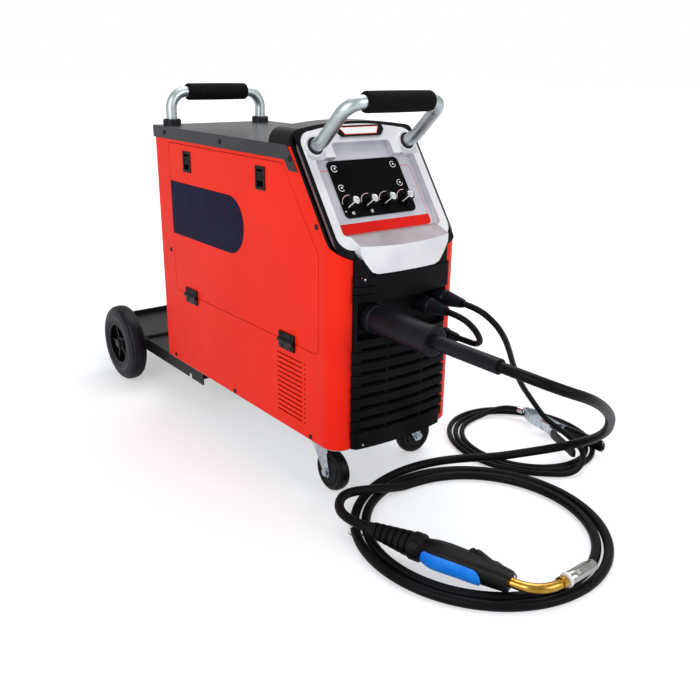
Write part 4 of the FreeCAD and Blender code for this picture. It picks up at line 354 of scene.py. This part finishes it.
# Black oxide on steel: dark, with a dull metal glint. The axle's cap nuts and all screws that show have it.
black_screw = finish_of("black_oxide_steel", "#0F0F10", "#1A1A1C", 6, 0.8, 0.01, 0.36, Metallic=0.6)
axle_bare_half = 0.150
dress_part("rear_axle", black_screw, lambda face: abs(face.center.x) > axle_bare_half)

# Casters: pressed zinc-plated forks on ball races under the pan, with solid black plastic wheels on plain
# bolts. They stand as they were pushed in, the left one turned to the side.
dress(zinc_plate, "caster_plates", "caster_fork_left", "caster_fork_right")
dress(hub_plastic, "caster_wheel_left", "caster_wheel_right")

# Frame inside: galvanised pan and partition, and the power unit with its extruded heat sink, capacitors
# and chokes, screwed to the right-hand side.
# Galvanised sheet: pale grey metal, half matt, with small soft spangles.
galvanised = finish_of("galvanised_sheet", "#8E9498", "#B4BABE", 11, 1.5, 0.01, 0.38, 0.08, Metallic=1.0)
dress(galvanised, "base_pan", "centre_wall")
# Extruded aluminium: even light grey metal with faint lines along the fins.
extruded_aluminium = finish_of("extruded_aluminium", "#A8ABAE", "#BDC0C3", 30, 1.2, 0.01, 0.36,
                               stretch=(1.0, 0.08, 1.0), Metallic=1.0)
dress(extruded_aluminium, "power_unit")

# Wire feeder: cast plate with motor, grooved steel drive roll, sprung pressure arm and its roll, beside the
# spool's hub in the left bay. The plate and the arm are zinc plated.
dress(zinc_plate, "wire_feeder", "pressure_arm")
# Hardened steel, ground: darker grey with fine turning marks.
ground_steel = finish_of("ground_steel", "#7E8184", "#9C9FA2", 8, 0.8, 0.008, 0.28, Metallic=1.0)
dress(ground_steel, "drive_roll", "pressure_roll")

# Wire spool: black polystyrene spool that runs on the hub, wound full with copper-coated welding wire in
# tight side-by-side turns.
# Moulded polystyrene: dark grey with an even half gloss.
spool_plastic = finish_of("moulded_polystyrene", "#1A1A1D", "#242428", 45, 2.2, 0.03, 0.34)
dress(spool_plastic, "wire_spool")
spool_low, spool_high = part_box("wire_spool")
spool_middle = (spool_low + spool_high) / 2
flange_wall = 0.0042
rim_over_wire = 0.0120
spool_half = (spool_high.x - spool_low.x) / 2 - flange_wall
wound = (spool_high.z - spool_low.z) / 2 - rim_over_wire
wire_bed = wound - 0.004
wire_lines = [(-spool_half, wire_bed)]
turns_across = 40
for line in range(turns_across):
    edge = -spool_half + 2 * spool_half * line / turns_across
    middle = edge + spool_half / turns_across
    wire_lines += [(edge, wound + 0.0001), (middle, wound + 0.0007)]
wire_lines += [(spool_half, wound + 0.0001), (spool_half, wire_bed), (-spool_half, wire_bed)]
winding = turned("spool_winding", wire_lines, tuple(spool_middle), (1, 0, 0), 96)
# Copper-coated steel wire: reddish metal, each turn a bright line. The turns are drawn coarser than the real
# wire, so that they show.
copper_wire = finish_of("copper_coated_wire", "#A5603A", "#C77F55", 14, 0.9, 0.01, 0.30, Metallic=1.0)
hand_over(winding, "spool", copper_wire, 25)

# Rear fittings: nylon mains gland, gas spigot, rocker switch in its bezel, and the fan behind its slots.
# The gland and the spigot are screwed in, the switch is snapped in.
# Moulded nylon: black, half matt, with a very fine grain.
rear_nylon = finish_of("moulded_nylon", "#101012", "#18181B", 50, 1.8, 0.04, 0.42, Specular_IOR_Level=0.25)
dress(rear_nylon, "rear_fittings", "power_switch", "fan_rotor")

# Side panels and service door: 1 mm steel sheet, folded and punched, powder coated bright red. The door
# has a folded rim and hangs on two butt hinges along its lower edge.
# Red powder coat: saturated and slightly orange, even, with a fine peel and a soft half gloss.
red_coat = finish_of("red_powder_coat", "#F4220A", "#FE2C10", 260, 1.6, 0.020, 0.40, 0.05,
                     Specular_IOR_Level=0.15)
dress(red_coat, "side_panel_left", "side_panel_right", "service_door")


# Door decal: printed vinyl, a plain navy field with square rear corners and a rounded front end, laid on
# the door by hand.
def pick(piece, chosen):
    """Select only those vertices of a piece in edit mode whose place passes a test."""
    bpy.ops.mesh.select_mode(type="VERT")
    bpy.ops.mesh.select_all(action="DESELECT")
    mesh = bmesh.from_edit_mesh(piece.data)
    for vertex in mesh.verts:
        vertex.select_set(chosen(vertex.co))
    mesh.select_flush(True)
    bmesh.update_edit_mesh(piece.data)


def tile(name, x0, x1, y0, y1, level, thick, radii, segments=8):
    """A flat tile drawn in the plane, its corners cut from the lower left one round, then thickened."""
    bpy.ops.object.select_all(action="DESELECT")
    bpy.ops.mesh.primitive_plane_add(size=1, location=((x0 + x1) / 2, (y0 + y1) / 2, level))
    piece = bpy.context.object
    piece.name = name
    piece.data.name = name
    piece.scale = (x1 - x0, y1 - y0, 1)
    bpy.ops.object.transform_apply(location=True, rotation=True, scale=True)
    bpy.ops.object.mode_set(mode="EDIT")
    for (x, y), radius in zip(((x0, y0), (x1, y0), (x1, y1), (x0, y1)), radii):
        if radius:
            pick(piece, lambda co: abs(co.x - x) < 1e-6 and abs(co.y - y) < 1e-6)
            bpy.ops.mesh.bevel(offset=radius, offset_type="OFFSET", segments=segments, affect="VERTICES")
    bpy.ops.mesh.select_all(action="SELECT")
    bpy.ops.mesh.extrude_region_move(TRANSFORM_OT_translate={"value": (0, 0, thick)})
    bpy.ops.mesh.select_all(action="SELECT")
    bpy.ops.mesh.normals_make_consistent(inside=False)
    bpy.ops.object.mode_set(mode="OBJECT")
    return piece


def lay(piece, origin, right, up):
    """Lay a piece drawn flat on the plane through an origin, its x along right and its y along up."""
    right = Vector(right).normalized()
    up = Vector(up).normalized()
    out = right.cross(up)
    piece.matrix_world = Matrix.Translation(origin) @ Matrix((right, up, out)).transposed().to_4x4()
    bpy.ops.object.select_all(action="DESELECT")
    piece.select_set(True)
    bpy.context.view_layer.objects.active = piece
    bpy.ops.object.transform_apply(location=True, rotation=True, scale=True)
    piece.select_set(False)


# Cast vinyl with a matt laminate: deep navy, smooth.
navy_vinyl = finish_of("navy_vinyl", "#14122C", "#191735", 70, 2.4, 0.006, 0.42, Specular_IOR_Level=0.04)
door_face = -0.13505
vinyl_thick = 0.0003
decal = tile("door_decal", -0.081, 0.200, 0.386, 0.493, 0.0, vinyl_thick, (0, 0.052, 0.050, 0), 14)
lay(decal, (door_face, 0, 0), (0, -1, 0), (0, 0, 1))
hand_over(decal, "door", navy_vinyl, 20)

# Door hardware: black hinge leaves and moulded latch housings with ribbed finger slides, fixed to the door
# and to the panel round it.
# Glass-filled nylon: black and matt, a little cloudy.
latch_black = finish_of("glass_filled_nylon", "#0E0E11", "#17171A", 30, 1.2, 0.04, 0.48,
                        Specular_IOR_Level=0.14)
dress(latch_black, "door_hardware", "latch_slider_front", "latch_slider_rear")

# Top cover: one folded steel sheet over the shell, skirts and ears included, powder coated charcoal and
# screwed to the side panels.
# Charcoal powder coat: satin, with a soft shine where the roof catches the light.
charcoal_coat = finish_of("charcoal_powder_coat", "#28282D", "#313138", 160, 1.6, 0.02, 0.30, 0.05,
                          Specular_IOR_Level=0.3)
dress(charcoal_coat, "top_cover")

# Screws that show: black button heads along the skirts and the panels' edges, and the cart's bolts, all of
# oxide-blacked steel, screwed into pressed nuts in the frame.
dress(black_screw, "cabinet_hardware")

# Handles: 22 mm aluminium tube, bent cold, with knees on the front one, and clear anodised. They are bolted
# on at both ends of the machine.
# Clear anodised aluminium: pale, slightly green satin metal with soft long reflections.
anodised = finish_of("clear_anodised_aluminium", "#B0BABA", "#C4CDCD", 35, 1.2, 0.006, 0.34, 0.04,
                     Metallic=0.95)
dress(anodised, "front_handle", "rear_handle")

# Grips: closed-cell foam sleeves, 33 mm across and 138 mm long, pushed on the handles while wet. Their ends
# are ground round.
# Closed-cell foam: black and quite matt, with pores of about a millimetre.
grip_foam = finish_of("closed_cell_foam", "#0A0A0B", "#131314", 7, 0.9, 0.22, 0.88, 0.06,
                      Specular_IOR_Level=0.1)
grip_ends = [(-69, 11.2), (-69, 13.4), (-68, 15.2), (-65.8, 16.3), (-62, 16.5), (-30, 16.7), (0, 16.8),
             (30, 16.7), (62, 16.5), (65.8, 16.3), (68, 15.2), (69, 13.4), (69, 11.2), (-69, 11.2)]
grip_profile = [(a / 1000, r / 1000) for a, r in grip_ends]
rear_grip = turned("rear_grip", grip_profile, (0, 0.121, 0.661), (1, 0, 0), 64)
front_grip = turned("front_grip", grip_profile, (0, -0.4534, 0.666), (1, 0, 0), 64)
for grip in (rear_grip, front_grip):
    hand_over(grip, "chassis", grip_foam, 50)
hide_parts("handle_grips")
# The collars on the roof and the seal rings on the bosses are moulded rubber too.
dress(tyre_rubber, "handle_collars")

# Front hood and grille: two black polycarbonate mouldings. The hood goes round the panel and over the roof's
# front, the bowed grille fills the front below it, and both are screwed to the shell.
# Gloss polycarbonate: deep black that shines along the edge band.
hood_gloss = finish_of("gloss_polycarbonate", "#050506", "#09090B", 90, 2.0, 0.012, 0.20, 0.04,
                       Specular_IOR_Level=0.14)
dress(hood_gloss, "front_hood")
# Grained polycarbonate: the same black with a spark-eroded grain, so it is matt on the slats.
grille_grain = finish_of("grained_polycarbonate", "#08080A", "#101013", 70, 1.2, 0.06, 0.42,
                         Specular_IOR_Level=0.06)
dress(grille_grain, "front_grille")

# Fascia: one ABS moulding, a raised border round the sloping panel's recess with a ledge and the chin below,
# sprayed silver, with painted light on the raised border and the chin's face and painted shade on the ledge.
# Its bosses carry the feet of the front handle.
# Silver paint: bright and slightly cool, with a sheen from its fine flake.
silver_paint = finish_of("silver_spray_paint", "#C8C8D0", "#D4D4DB", 60, 0.7, 0.004, 0.34, 0.05,
                         Metallic=0.35)
dress(silver_paint, "fascia")
# Places on the panel are measured from this point, across, up the slope and out of its face.
panel_origin = Vector((0, -0.3584, 0.6018))
panel_slope = math.radians(55)
slope_up = Vector((0, math.cos(panel_slope), math.sin(panel_slope)))
slope_out = Vector((1, 0, 0)).cross(slope_up)
panel = (panel_origin, (1, 0, 0), slope_up)
recess_level = -0.0120
border_from = -0.0035
ledge_below = -0.15
# Painted light: the same silver paint drawn much lighter and a little glossier on the raised border and the
# chin's face, where light falls on them.
silver_painted_light = finish_of("silver_paint_painted_light", "#E4E4E9", "#F0F0F4", 60, 0.7, 0.003, 0.28, 0.05,
                          Metallic=0.2)
dress_part("fascia", silver_painted_light,
           lambda face: (face.center - panel_origin).dot(slope_out) > border_from)
# Painted shade: the same silver paint drawn duller and a little pink on the ledge over the chin; the pink is
# a painted reflection of the red stripe above it.
silver_painted_shade = finish_of("silver_paint_painted_shade", "#857D82", "#978E92", 45, 0.7, 0.004, 0.40, 0.05,
                        Metallic=0.35)
dress_part("fascia", silver_painted_shade,
           lambda face: face.normal.z > 0.85 and (face.center - panel_origin).dot(slope_up) < ledge_below)
boss_inner, boss_outer = 0.0805, 0.1165
for word, x0, x1, radii in (("left", -boss_outer, -boss_inner, (0.007, 0.009, 0, 0)),
                            ("right", boss_inner, boss_outer, (0.004, 0.004, 0, 0))):
    pad = tile("boss_pad_" + word, x0, x1, -0.0330, -0.0070, -0.0119, 0.0121, radii)
    lay(pad, *panel)
    hand_over(pad, "chassis", silver_paint)

# Name plate: a black moulded bar with cut lower corners, pressed into the crown. On it sits a bare white
# plate in a thin red outline, screen printed, both ends slanted.
name_bar = tile("name_bar", -0.0460, 0.0560, 0.0040, 0.0242, 0.0024, 0.0008, (0.008, 0.010, 0.002, 0.002), 1)
lay(name_bar, *panel)
hand_over(name_bar, "chassis", hood_gloss, 20)
# Screen inks: flat, even colour with hardly any shine, a deep red and a pure white.
red_ink = finish_of("red_screen_ink", "#DB130B", "#E31A11", 40, 1.0, 0.003, 0.42, Specular_IOR_Level=0.14)
# The pure white is also used for the painted highlights on the control plate's screws.
white_ink_and_highlight = finish_of("white_ink_and_painted_highlight", "#F8F8F8", "#FFFFFF", 40, 1.0, 0.003, 0.45)
plate_thick = 0.0003


def slanted(name, x0, x1, cut, y0, y1, level):
    """A thin plate whose two ends slant inwards towards its lower edge."""
    piece = tile(name, x0, x1, y0, y1, level, plate_thick, (0, 0, 0, 0))
    bpy.context.view_layer.objects.active = piece
    bpy.ops.object.mode_set(mode="EDIT")
    for edge, shift in ((x0, cut), (x1, -cut)):
        pick(piece, lambda co: co.y < y0 + 1e-5 and abs(co.x - edge) < 1e-5)
        bpy.ops.transform.translate(value=(shift, 0, 0))
    bpy.ops.object.mode_set(mode="OBJECT")
    return piece


plate_edge = slanted("name_plate_edge", -0.0385, 0.0470, 0.0085, 0.0072, 0.0215, 0.0031)
lay(plate_edge, *panel)
hand_over(plate_edge, "chassis", red_ink, 20)
plate_face = slanted("name_plate_face", -0.0365, 0.0450, 0.0078, 0.0085, 0.0203, 0.0033)
lay(plate_face, *panel)
hand_over(plate_face, "chassis", white_ink_and_highlight, 20)

# Label film: printed polyester film stuck in the recess, pale silver inside a thin red outline, with a bare
# red stripe along its foot.
# Pearl polyester film: pale, cool silver with a smooth half gloss.
film_silver = finish_of("pearl_polyester_film", "#C6C6D0", "#D4D4DC", 60, 0.8, 0.002, 0.30, 0.04,
                        Metallic=0.3)
film_left, film_right, film_foot = -0.1040, 0.0965, -0.1612
film_edge = tile("label_outline", film_left, film_right, film_foot, -0.0470, recess_level, 0.00030,
                 (0.009, 0.009, 0.011, 0.011))
film_face = tile("label_film", -0.1029, 0.0954, -0.1602, -0.0481, recess_level, 0.00042,
                 (0.008, 0.008, 0.010, 0.010))
stripe = tile("label_stripe", film_left, film_right, film_foot, -0.1427, recess_level, 0.00056,
              (0.009, 0.009, 0, 0))
for piece, material in ((film_edge, red_ink), (film_face, film_silver), (stripe, red_ink)):
    lay(piece, *panel)
    hand_over(piece, "chassis", material, 20)


# Control plate: 3 mm black acrylic, laser cut and held by four screws, each shown by a painted highlight: a
# white dome in an open white arc.
# A faint rose arc round each knob and a short white printed mark at the lower left are on it too.
def skin(name, across, along, place, thick):
    """A thin curved piece: a grid whose points go where a rule puts them, then given its thickness."""
    bpy.ops.object.select_all(action="DESELECT")
    bpy.ops.mesh.primitive_grid_add(x_subdivisions=across, y_subdivisions=along, size=1)
    piece = bpy.context.object
    piece.name = name
    piece.data.name = name
    for vertex in piece.data.vertices:
        vertex.co = place(vertex.co.x + 0.5, vertex.co.y + 0.5)
    wall = piece.modifiers.new("wall", "SOLIDIFY")
    wall.thickness = thick
    wall.offset = -1
    bpy.ops.object.modifier_apply(modifier="wall")
    bpy.ops.object.mode_set(mode="EDIT")
    bpy.ops.mesh.select_all(action="SELECT")
    bpy.ops.mesh.normals_make_consistent(inside=False)
    bpy.ops.object.mode_set(mode="OBJECT")
    return piece


ink_thick = 0.00012


def arc_mark(name, x, y, level, radius, width, start, sweep):
    """A thin arc on the panel's plane, its angles in degrees from the right."""
    def on_arc(u, v):
        angle = math.radians(start + sweep * u)
        reach = radius + width * (v - 0.5)
        return Vector((x + reach * math.cos(angle), y + reach * math.sin(angle), level))
    piece = skin(name, 28, 1, on_arc, ink_thick)
    lay(piece, *panel)
    return piece


# Gloss acrylic: deep even black with a smooth sheen.
gloss_acrylic = finish_of("gloss_acrylic", "#060608", "#0A0A0D", 70, 2.0, 0.004, 0.26, 0.04,
                          Specular_IOR_Level=0.05)
dress(gloss_acrylic, "control_plate")
plate_level = -0.0089
screw_level = -0.0078
# Each screw's place across and up, and the angle in degrees at which its open arc of painted highlight
# starts.
screw_places = ((-0.0675, -0.046, 20), (0.0575, -0.046, 60), (0.0575, -0.081, 60), (-0.0675, -0.081, 20))
highlight_sweep = 300
highlight_dot_profile = [(0, 0), (0, 0.0017), (0.0003, 0.0015), (0.0004, 0)]
# Each screw's head carries a painted highlight: an open white arc and a small white dome.
for k, (x, y, start) in enumerate(screw_places):
    highlight_ring = arc_mark("screw_highlight_ring_%d" % k, x, y, plate_level, 0.0056, 0.0010, start, highlight_sweep)
    hand_over(highlight_ring, "chassis", white_ink_and_highlight, 20)
    dot = turned("screw_highlight_dot_%d" % k, highlight_dot_profile, (x, y, screw_level), (0, 0, 1), 24)
    lay(dot, *panel)
    hand_over(dot, "chassis", white_ink_and_highlight, 20)
knob_row = -0.1110
knob_pitch = 0.0388
knob_places = [(k - 1.5) * knob_pitch - 0.002 for k in range(4)]
# Rose arcs: one faint light line over the upper left of each knob, laid on the plate.
rose_arc_colour = finish_of("rose_knob_arcs", "#D9A9A9", "#E9C9C9", 12, 1.0, 0.003, 0.45)
for k, x in enumerate(knob_places):
    arc_line = arc_mark("knob_arc_%d" % k, x, knob_row, plate_level, 0.0168, 0.0011, 78, 95)
    hand_over(arc_line, "chassis", rose_arc_colour, 20)
mode_mark = tile("mode_mark", -0.0775, -0.0742, -0.1232, -0.1218, plate_level, 0.0002, (0, 0, 0, 0))
lay(mode_mark, *panel)
hand_over(mode_mark, "chassis", white_ink_and_highlight, 20)

# Knobs: moulded black ABS, pushed on encoder shafts, each with a spun aluminium cap glued into its head and
# a white line down its side.
# Moulded ABS: black, with an even half gloss.
knob_black = finish_of("moulded_abs", "#070708", "#0D0D10", 18, 1.0, 0.02, 0.32, Specular_IOR_Level=0.12)
# Spun aluminium: bright pale metal with a fine grain.
spun_aluminium = finish_of("spun_aluminium", "#D8DADC", "#F2F3F4", 5, 0.8, 0.0008, 0.24, 0.04, Metallic=0.8)
knob_head = 0.0073
knob_foot = -0.0086
foot_radius = 0.0100
line_angle = math.radians(210)
line_spread = 0.15
side_share = 0.72
cap_profile = [(0, 0), (0, 0.0063), (0.0005, 0.0064), (0.0009, 0.0059), (0.0006, 0.0046), (0.0004, 0.0026),
               (0.0008, 0.0012), (0.0008, 0)]


def line_on_knob(x, u, v):
    """Point of a knob's line: from the foot up the tapered side and in over the rim to the cap."""
    climb = min(1.0, u / side_share)
    over = max(0.0, (u - side_share) / (1 - side_share))
    reach = foot_radius - 0.0007 * climb - 0.0028 * over
    angle = line_angle + (v - 0.5) * line_spread
    height = knob_foot + 0.0146 * climb + 0.0016 * min(1.0, over * 2)
    return Vector((x + reach * math.cos(angle), knob_row + reach * math.sin(angle), height))


for k, x in enumerate(knob_places):
    body = "knob_" + "abcd"[k]
    dress(knob_black, "knob_%d" % (k + 1))
    cap = turned("knob_cap_%d" % (k + 1), cap_profile, (x, knob_row, knob_head), (0, 0, 1), 40)
    lay(cap, *panel)
    hand_over(cap, body, spun_aluminium, 25)
    line = skin("knob_line_%d" % (k + 1), 24, 2, lambda u, v: line_on_knob(x, u, v), 0.0002)
    lay(line, *panel)
    hand_over(line, body, white_ink_and_highlight, 40)

# Buttons: two turned brass caps, nickel plated, in the lower row of the control plate. They push straight
# in, each on its own spring.
# Nickel plate: bright, faintly warm metal with sharp reflections.
nickel = finish_of("nickel_plate", "#C9CBCD", "#E2E4E5", 6, 0.8, 0.0008, 0.18, Metallic=1.0)
dress(nickel, "button_1", "button_2")

# Front strip: two small round-head screws hold the grille, and a tiny red lamp sits beside the upper one,
# pressed into its hole.
# Bright zinc on the screws: pale metal with a sharp glint.
bright_screw = finish_of("bright_zinc_screw", "#A9AFB5", "#C9CFD4", 4, 0.6, 0.006, 0.24, Metallic=1.0)


def on_front(x, z):
    """Point of the front's surface at a place, met by a ray that starts before the grille."""
    surfaces = bpy.context.evaluated_depsgraph_get()
    return bpy.context.scene.ray_cast(surfaces, (x, -0.6, z), (0, 1, 0))[1]


screw_profile = [(0, 0), (0, 0.0021), (0.0005, 0.0020), (0.0009, 0.0012), (0.0010, 0)]
for word, x, z in (("upper", -0.0878, 0.3996), ("lower", -0.0832, 0.1097)):
    head = turned("strip_screw_" + word, screw_profile, (x, on_front(x, z).y, z), (0, -1, 0), 24)
    hand_over(head, "chassis", bright_screw, 25)
# Red lens: clear deep red, glossy.
red_lens = finish_of("red_lens", "#C8140E", "#DE1D15", 5, 0.6, 0.002, 0.20)
lamp_x, lamp_z = -0.0934, 0.4035
lens = turned("strip_lamp", [(0, 0), (0, 0.0011), (0.0006, 0.0009), (0.0008, 0)],
              (lamp_x, on_front(lamp_x, lamp_z).y, lamp_z), (0, -1, 0), 20)
hand_over(lens, "chassis", red_lens)

# Sockets and plugs: brass inserts in black phenolic flanges. The torch's plug has a ribbed hand nut and a
# long rubber housing; the two bayonet plugs end in ribbed, tapered boots that take the strain off the lead.
# Phenolic moulding: black with a hard, even sheen.
phenolic = finish_of("phenolic_moulding", "#09090B", "#121215", 30, 1.2, 0.03, 0.36, Specular_IOR_Level=0.1)
dress(phenolic, "front_sockets")
# Moulded plug rubber: a soft, slightly blue black with a broad sheen.
plug_rubber = finish_of("plug_rubber", "#0E0E14", "#16161F", 55, 2.0, 0.05, 0.38, 0.08,
                        Specular_IOR_Level=0.14)
dress(plug_rubber, "torch_plug", "lead_plugs")


# Torch: black glass-filled handle with two azure soft-touch inserts, a ribbed boot and ball joint behind,
# and a bent brass neck in front with a white insulator and a chromed nozzle.
torch_origin = Vector((-0.162, -0.602, 0.035))
torch_along = (Vector((-0.089, -0.826, 0.033)) - torch_origin).normalized()
torch_side = Vector((0, 0, 1)).cross(torch_along).normalized()
# Torch nylon: black and half matt, with a fine moulded grain.
torch_black = finish_of("torch_nylon", "#080809", "#111114", 25, 1.2, 0.04, 0.38, Specular_IOR_Level=0.12)
dress(torch_black, "torch_body", "torch_trigger")
# Soft-touch elastomer: saturated azure, a broad soft sheen.
azure_rubber = finish_of("azure_elastomer", "#0A74EE", "#2096FF", 60, 1.4, 0.03, 0.42, 0.05,
                         Specular_IOR_Level=0.3)
# The handle's ovals in millimetres: distance along it, half width, half height, shift to the side.
handle_rows = [(98, 17, 16, 0), (120, 22, 19, 0), (176, 21, 18, 1), (213, 18, 16.5, 1), (236, 15, 15, 0)]


def handle_width(a, item):
    """One measure of the torch handle's oval at distance a, eased between its sections."""
    for low, high in zip(handle_rows, handle_rows[1:]):
        if a <= high[0]:
            t = (a - low[0]) / (high[0] - low[0])
            t = t * t * (3 - 2 * t)
            return low[item] + (high[item] - low[item]) * t
    return handle_rows[-1][item]


def on_handle(a, angle, proud):
    """Point so many millimetres along the handle, at an angle round it and so far off its skin."""
    bulge = 1 + 0.08 * math.sin(2 * angle) ** 2
    y = handle_width(a, 3) + (bulge * handle_width(a, 1) + proud) * math.cos(angle)
    z = (bulge * handle_width(a, 2) + proud) * math.sin(angle)
    return Vector((a / 1000, y / 1000, z / 1000))


insert_start, insert_length, insert_proud = 101, 98, 1.1
guard_start, guard_length = 162, 44
# The guard's ridge in millimetres: distance along the handle, height over its skin.
guard_rows = [(162, -1.5), (166, 6.0), (169, 6.4), (171, 3.4), (174, 6.6), (177, 6.8), (186, 4.2),
              (206, -1.0)]
guard_sunk = -1.5
torch_wall = 0.0012


def insert_point(u, v, middle, reach):
    """Point of a grip insert: rounded ends, wrapped round one side of the handle."""
    end = min(1.0, u / 0.08, (1 - u) / 0.15)
    spread = reach * math.sqrt(max(0.0, 1 - (1 - end) ** 2)) + 0.5
    angle = math.radians(middle + spread * (2 * v - 1))
    return on_handle(insert_start + insert_length * u, angle, insert_proud)


def guard_point(u, v):
    """Point of the trigger guard: a low hump with one notch, behind the trigger."""
    a = guard_start + guard_length * u
    for low, high in zip(guard_rows, guard_rows[1:]):
        if low[0] <= a <= high[0]:
            ridge = low[1] + (high[1] - low[1]) * (a - low[0]) / (high[0] - low[0])
    rise = guard_sunk + (ridge - guard_sunk) * math.sin(math.pi * v) ** 0.5
    return on_handle(a, math.radians(6 + 48 * v), rise)


for middle, reach, word in ((196, 47, "left"), (-24, 40, "right")):
    insert = skin("torch_insert_" + word, 48, 28, lambda u, v: insert_point(u, v, middle, reach),
                  torch_wall)
    lay(insert, torch_origin, torch_along, torch_side)
    hand_over(insert, "chassis", azure_rubber, 60)
guard = skin("torch_guard", 44, 16, guard_point, torch_wall)
lay(guard, torch_origin, torch_along, torch_side)
hand_over(guard, "chassis", torch_black, 50)
# Lacquered brass: warm yellow metal, smooth, with long soft reflections.
brass = finish_of("lacquered_brass", "#A67B2F", "#C69C4C", 20, 1.0, 0.002, 0.18, 0.03, Metallic=1.0)
dress(brass, "torch_neck")
# The neck leaves the handle's nose, bends by this angle at this radius and runs straight to the insulator.
neck_start, neck_bend, neck_radius, neck_run = 0.246, math.radians(72), 0.052, 0.014
nozzle_way = torch_along * math.cos(neck_bend) + torch_side * math.sin(neck_bend)
neck_end = (torch_origin
            + torch_along * (neck_start + neck_radius * math.sin(neck_bend) + neck_run * math.cos(neck_bend))
            + torch_side * (neck_radius * (1 - math.cos(neck_bend)) + neck_run * math.sin(neck_bend)))
ring_profile = [(-0.0002, 0), (-0.0002, 0.0106), (0.0006, 0.0113), (0.0044, 0.0113), (0.0052, 0.0106),
                (0.0052, 0)]
insulator = turned("torch_insulator", ring_profile, neck_end, nozzle_way, 48)
# Turned PTFE: pure white, waxy, without any pattern to see.
ptfe = finish_of("white_ptfe", "#E9EAEC", "#F4F4F5", 12, 1.0, 0.01, 0.40)
hand_over(insulator, "chassis", ptfe)
nozzle_profile = [(0.0122, 0), (0.0122, 0.0063), (0.0578, 0.0063), (0.0583, 0.0068), (0.0583, 0.0088),
                  (0.0420, 0.0105), (0.0180, 0.0105), (0.0176, 0.0100), (0.0166, 0.0100), (0.0162, 0.0105),
                  (0.0150, 0.0105), (0.0146, 0.0100), (0.0136, 0.0100), (0.0132, 0.0105), (0.0020, 0.0105),
                  (0.0001, 0.0098), (0.0001, 0)]
nozzle = turned("torch_nozzle", nozzle_profile, neck_end + nozzle_way * 0.005, nozzle_way, 56)
# Chrome plate: almost without a colour of its own; its colour is drawn darker, in dark and light patches, as
# painted mirror streaks.
chrome = finish_of("chrome_plate", "#A19F9C", "#BDBBB7", 10, 0.8, 0.0004, 0.07, 0.02, Metallic=1.0)
hand_over(nozzle, "chassis", chrome)
holder_from, hook_behind, hook_beside = 0.0053, 0.2435, 0.0085


def is_chromed(face):
    """The nozzle's holder, and the hanging hook of wire on the handle's nose, are chromed."""
    way = face.center - torch_origin
    hook = way.dot(torch_along) < hook_behind and way.dot(torch_side) > hook_beside
    return hook or (face.center - neck_end).dot(nozzle_way) > holder_from


dress_part("torch_neck", chrome, is_chromed)

# Twist tie: a flat wire strip in white plastic, twisted by hand round two strands of the torch lead's coil.
# Its coating has the same white finish as the insulator.
tie_turn = 0.27
tie_spots = [Vector(torch_coil(tie_turn)), Vector(torch_coil(tie_turn + 1))]
tie_middle = (tie_spots[0] + tie_spots[1]) / 2
tie_across = (tie_spots[1] - tie_spots[0]).normalized()
tie_along = Vector((0, 0, 1)).cross(tie_across)
tie_half = (tie_spots[1] - tie_spots[0]).length / 2
tie_reach, tie_width, tie_floor = 0.0094, 0.0046, -0.0078


def tie_point(u, v):
    """The strip goes round both strands in one tight loop."""
    angle = 2 * math.pi * u
    reach = math.cos(angle) * tie_reach + math.copysign(tie_half, math.cos(angle))
    height = max(tie_floor, math.sin(angle) * tie_reach)
    return tie_middle + tie_across * reach + Vector((0, 0, height)) + tie_along * (v - 0.5) * tie_width


tie = skin("twist_tie", 64, 1, tie_point, 0.0004)
hand_over(tie, "chassis", ptfe, 40)

# Earth clamp: two pressed zinc-plated arms on one pin with a coil spring; the handles are dipped in black
# vinyl, which leaves a thick soft sleeve on each.
dress(zinc_plate, "clamp_body", "clamp_arm")
clamp_tip = Vector((0.410, -0.432, 0.0225))
clamp_turn = math.radians(-102.6)
clamp_along = Vector((math.cos(clamp_turn), math.sin(clamp_turn), 0))
clamp_across = Vector((-math.sin(clamp_turn), math.cos(clamp_turn), 0))
# Dipped vinyl: black, soft and rather glossy, with a slightly wavy skin.
dipped_vinyl = finish_of("dipped_vinyl", "#08080A", "#101012", 22, 1.6, 0.05, 0.30, Specular_IOR_Level=0.18)
sleeve_start, sleeve_end, sleeve_thick, sleeve_rim, sleeve_out = 0.106, 0.204, 0.0058, 0.0018, 0.0019
sleeve_radii = (0.009, 0.009, 0.009, 0.009)
arm_bend, arm_half_gap = 0.096, 0.0150
arm_spread = math.atan2(21, 98)
for side, body, half, word in ((1, "chassis", 0.0118, "fixed"), (-1, "clamp_jaw", 0.0096, "moving")):
    sleeve = tile("clamp_sleeve_" + word, sleeve_start, sleeve_end, -half, half, 0.0, sleeve_thick,
                  sleeve_radii, 6)
    bpy.context.view_layer.objects.active = sleeve
    sleeve.select_set(True)
    soft = sleeve.modifiers.new("soft", "BEVEL")
    soft.width = sleeve_rim
    soft.segments = 3
    bpy.ops.object.modifier_apply(modifier="soft")
    right = clamp_along * math.cos(arm_spread) + clamp_across * side * math.sin(arm_spread)
    arm_start = clamp_tip + clamp_along * arm_bend + clamp_across * side * arm_half_gap
    rise = Vector((0, 0, 1)) * side
    origin = arm_start - right * arm_bend - right.cross(rise).normalized() * sleeve_out
    lay(sleeve, origin, right, rise)
    hand_over(sleeve, body, dipped_vinyl, 50)
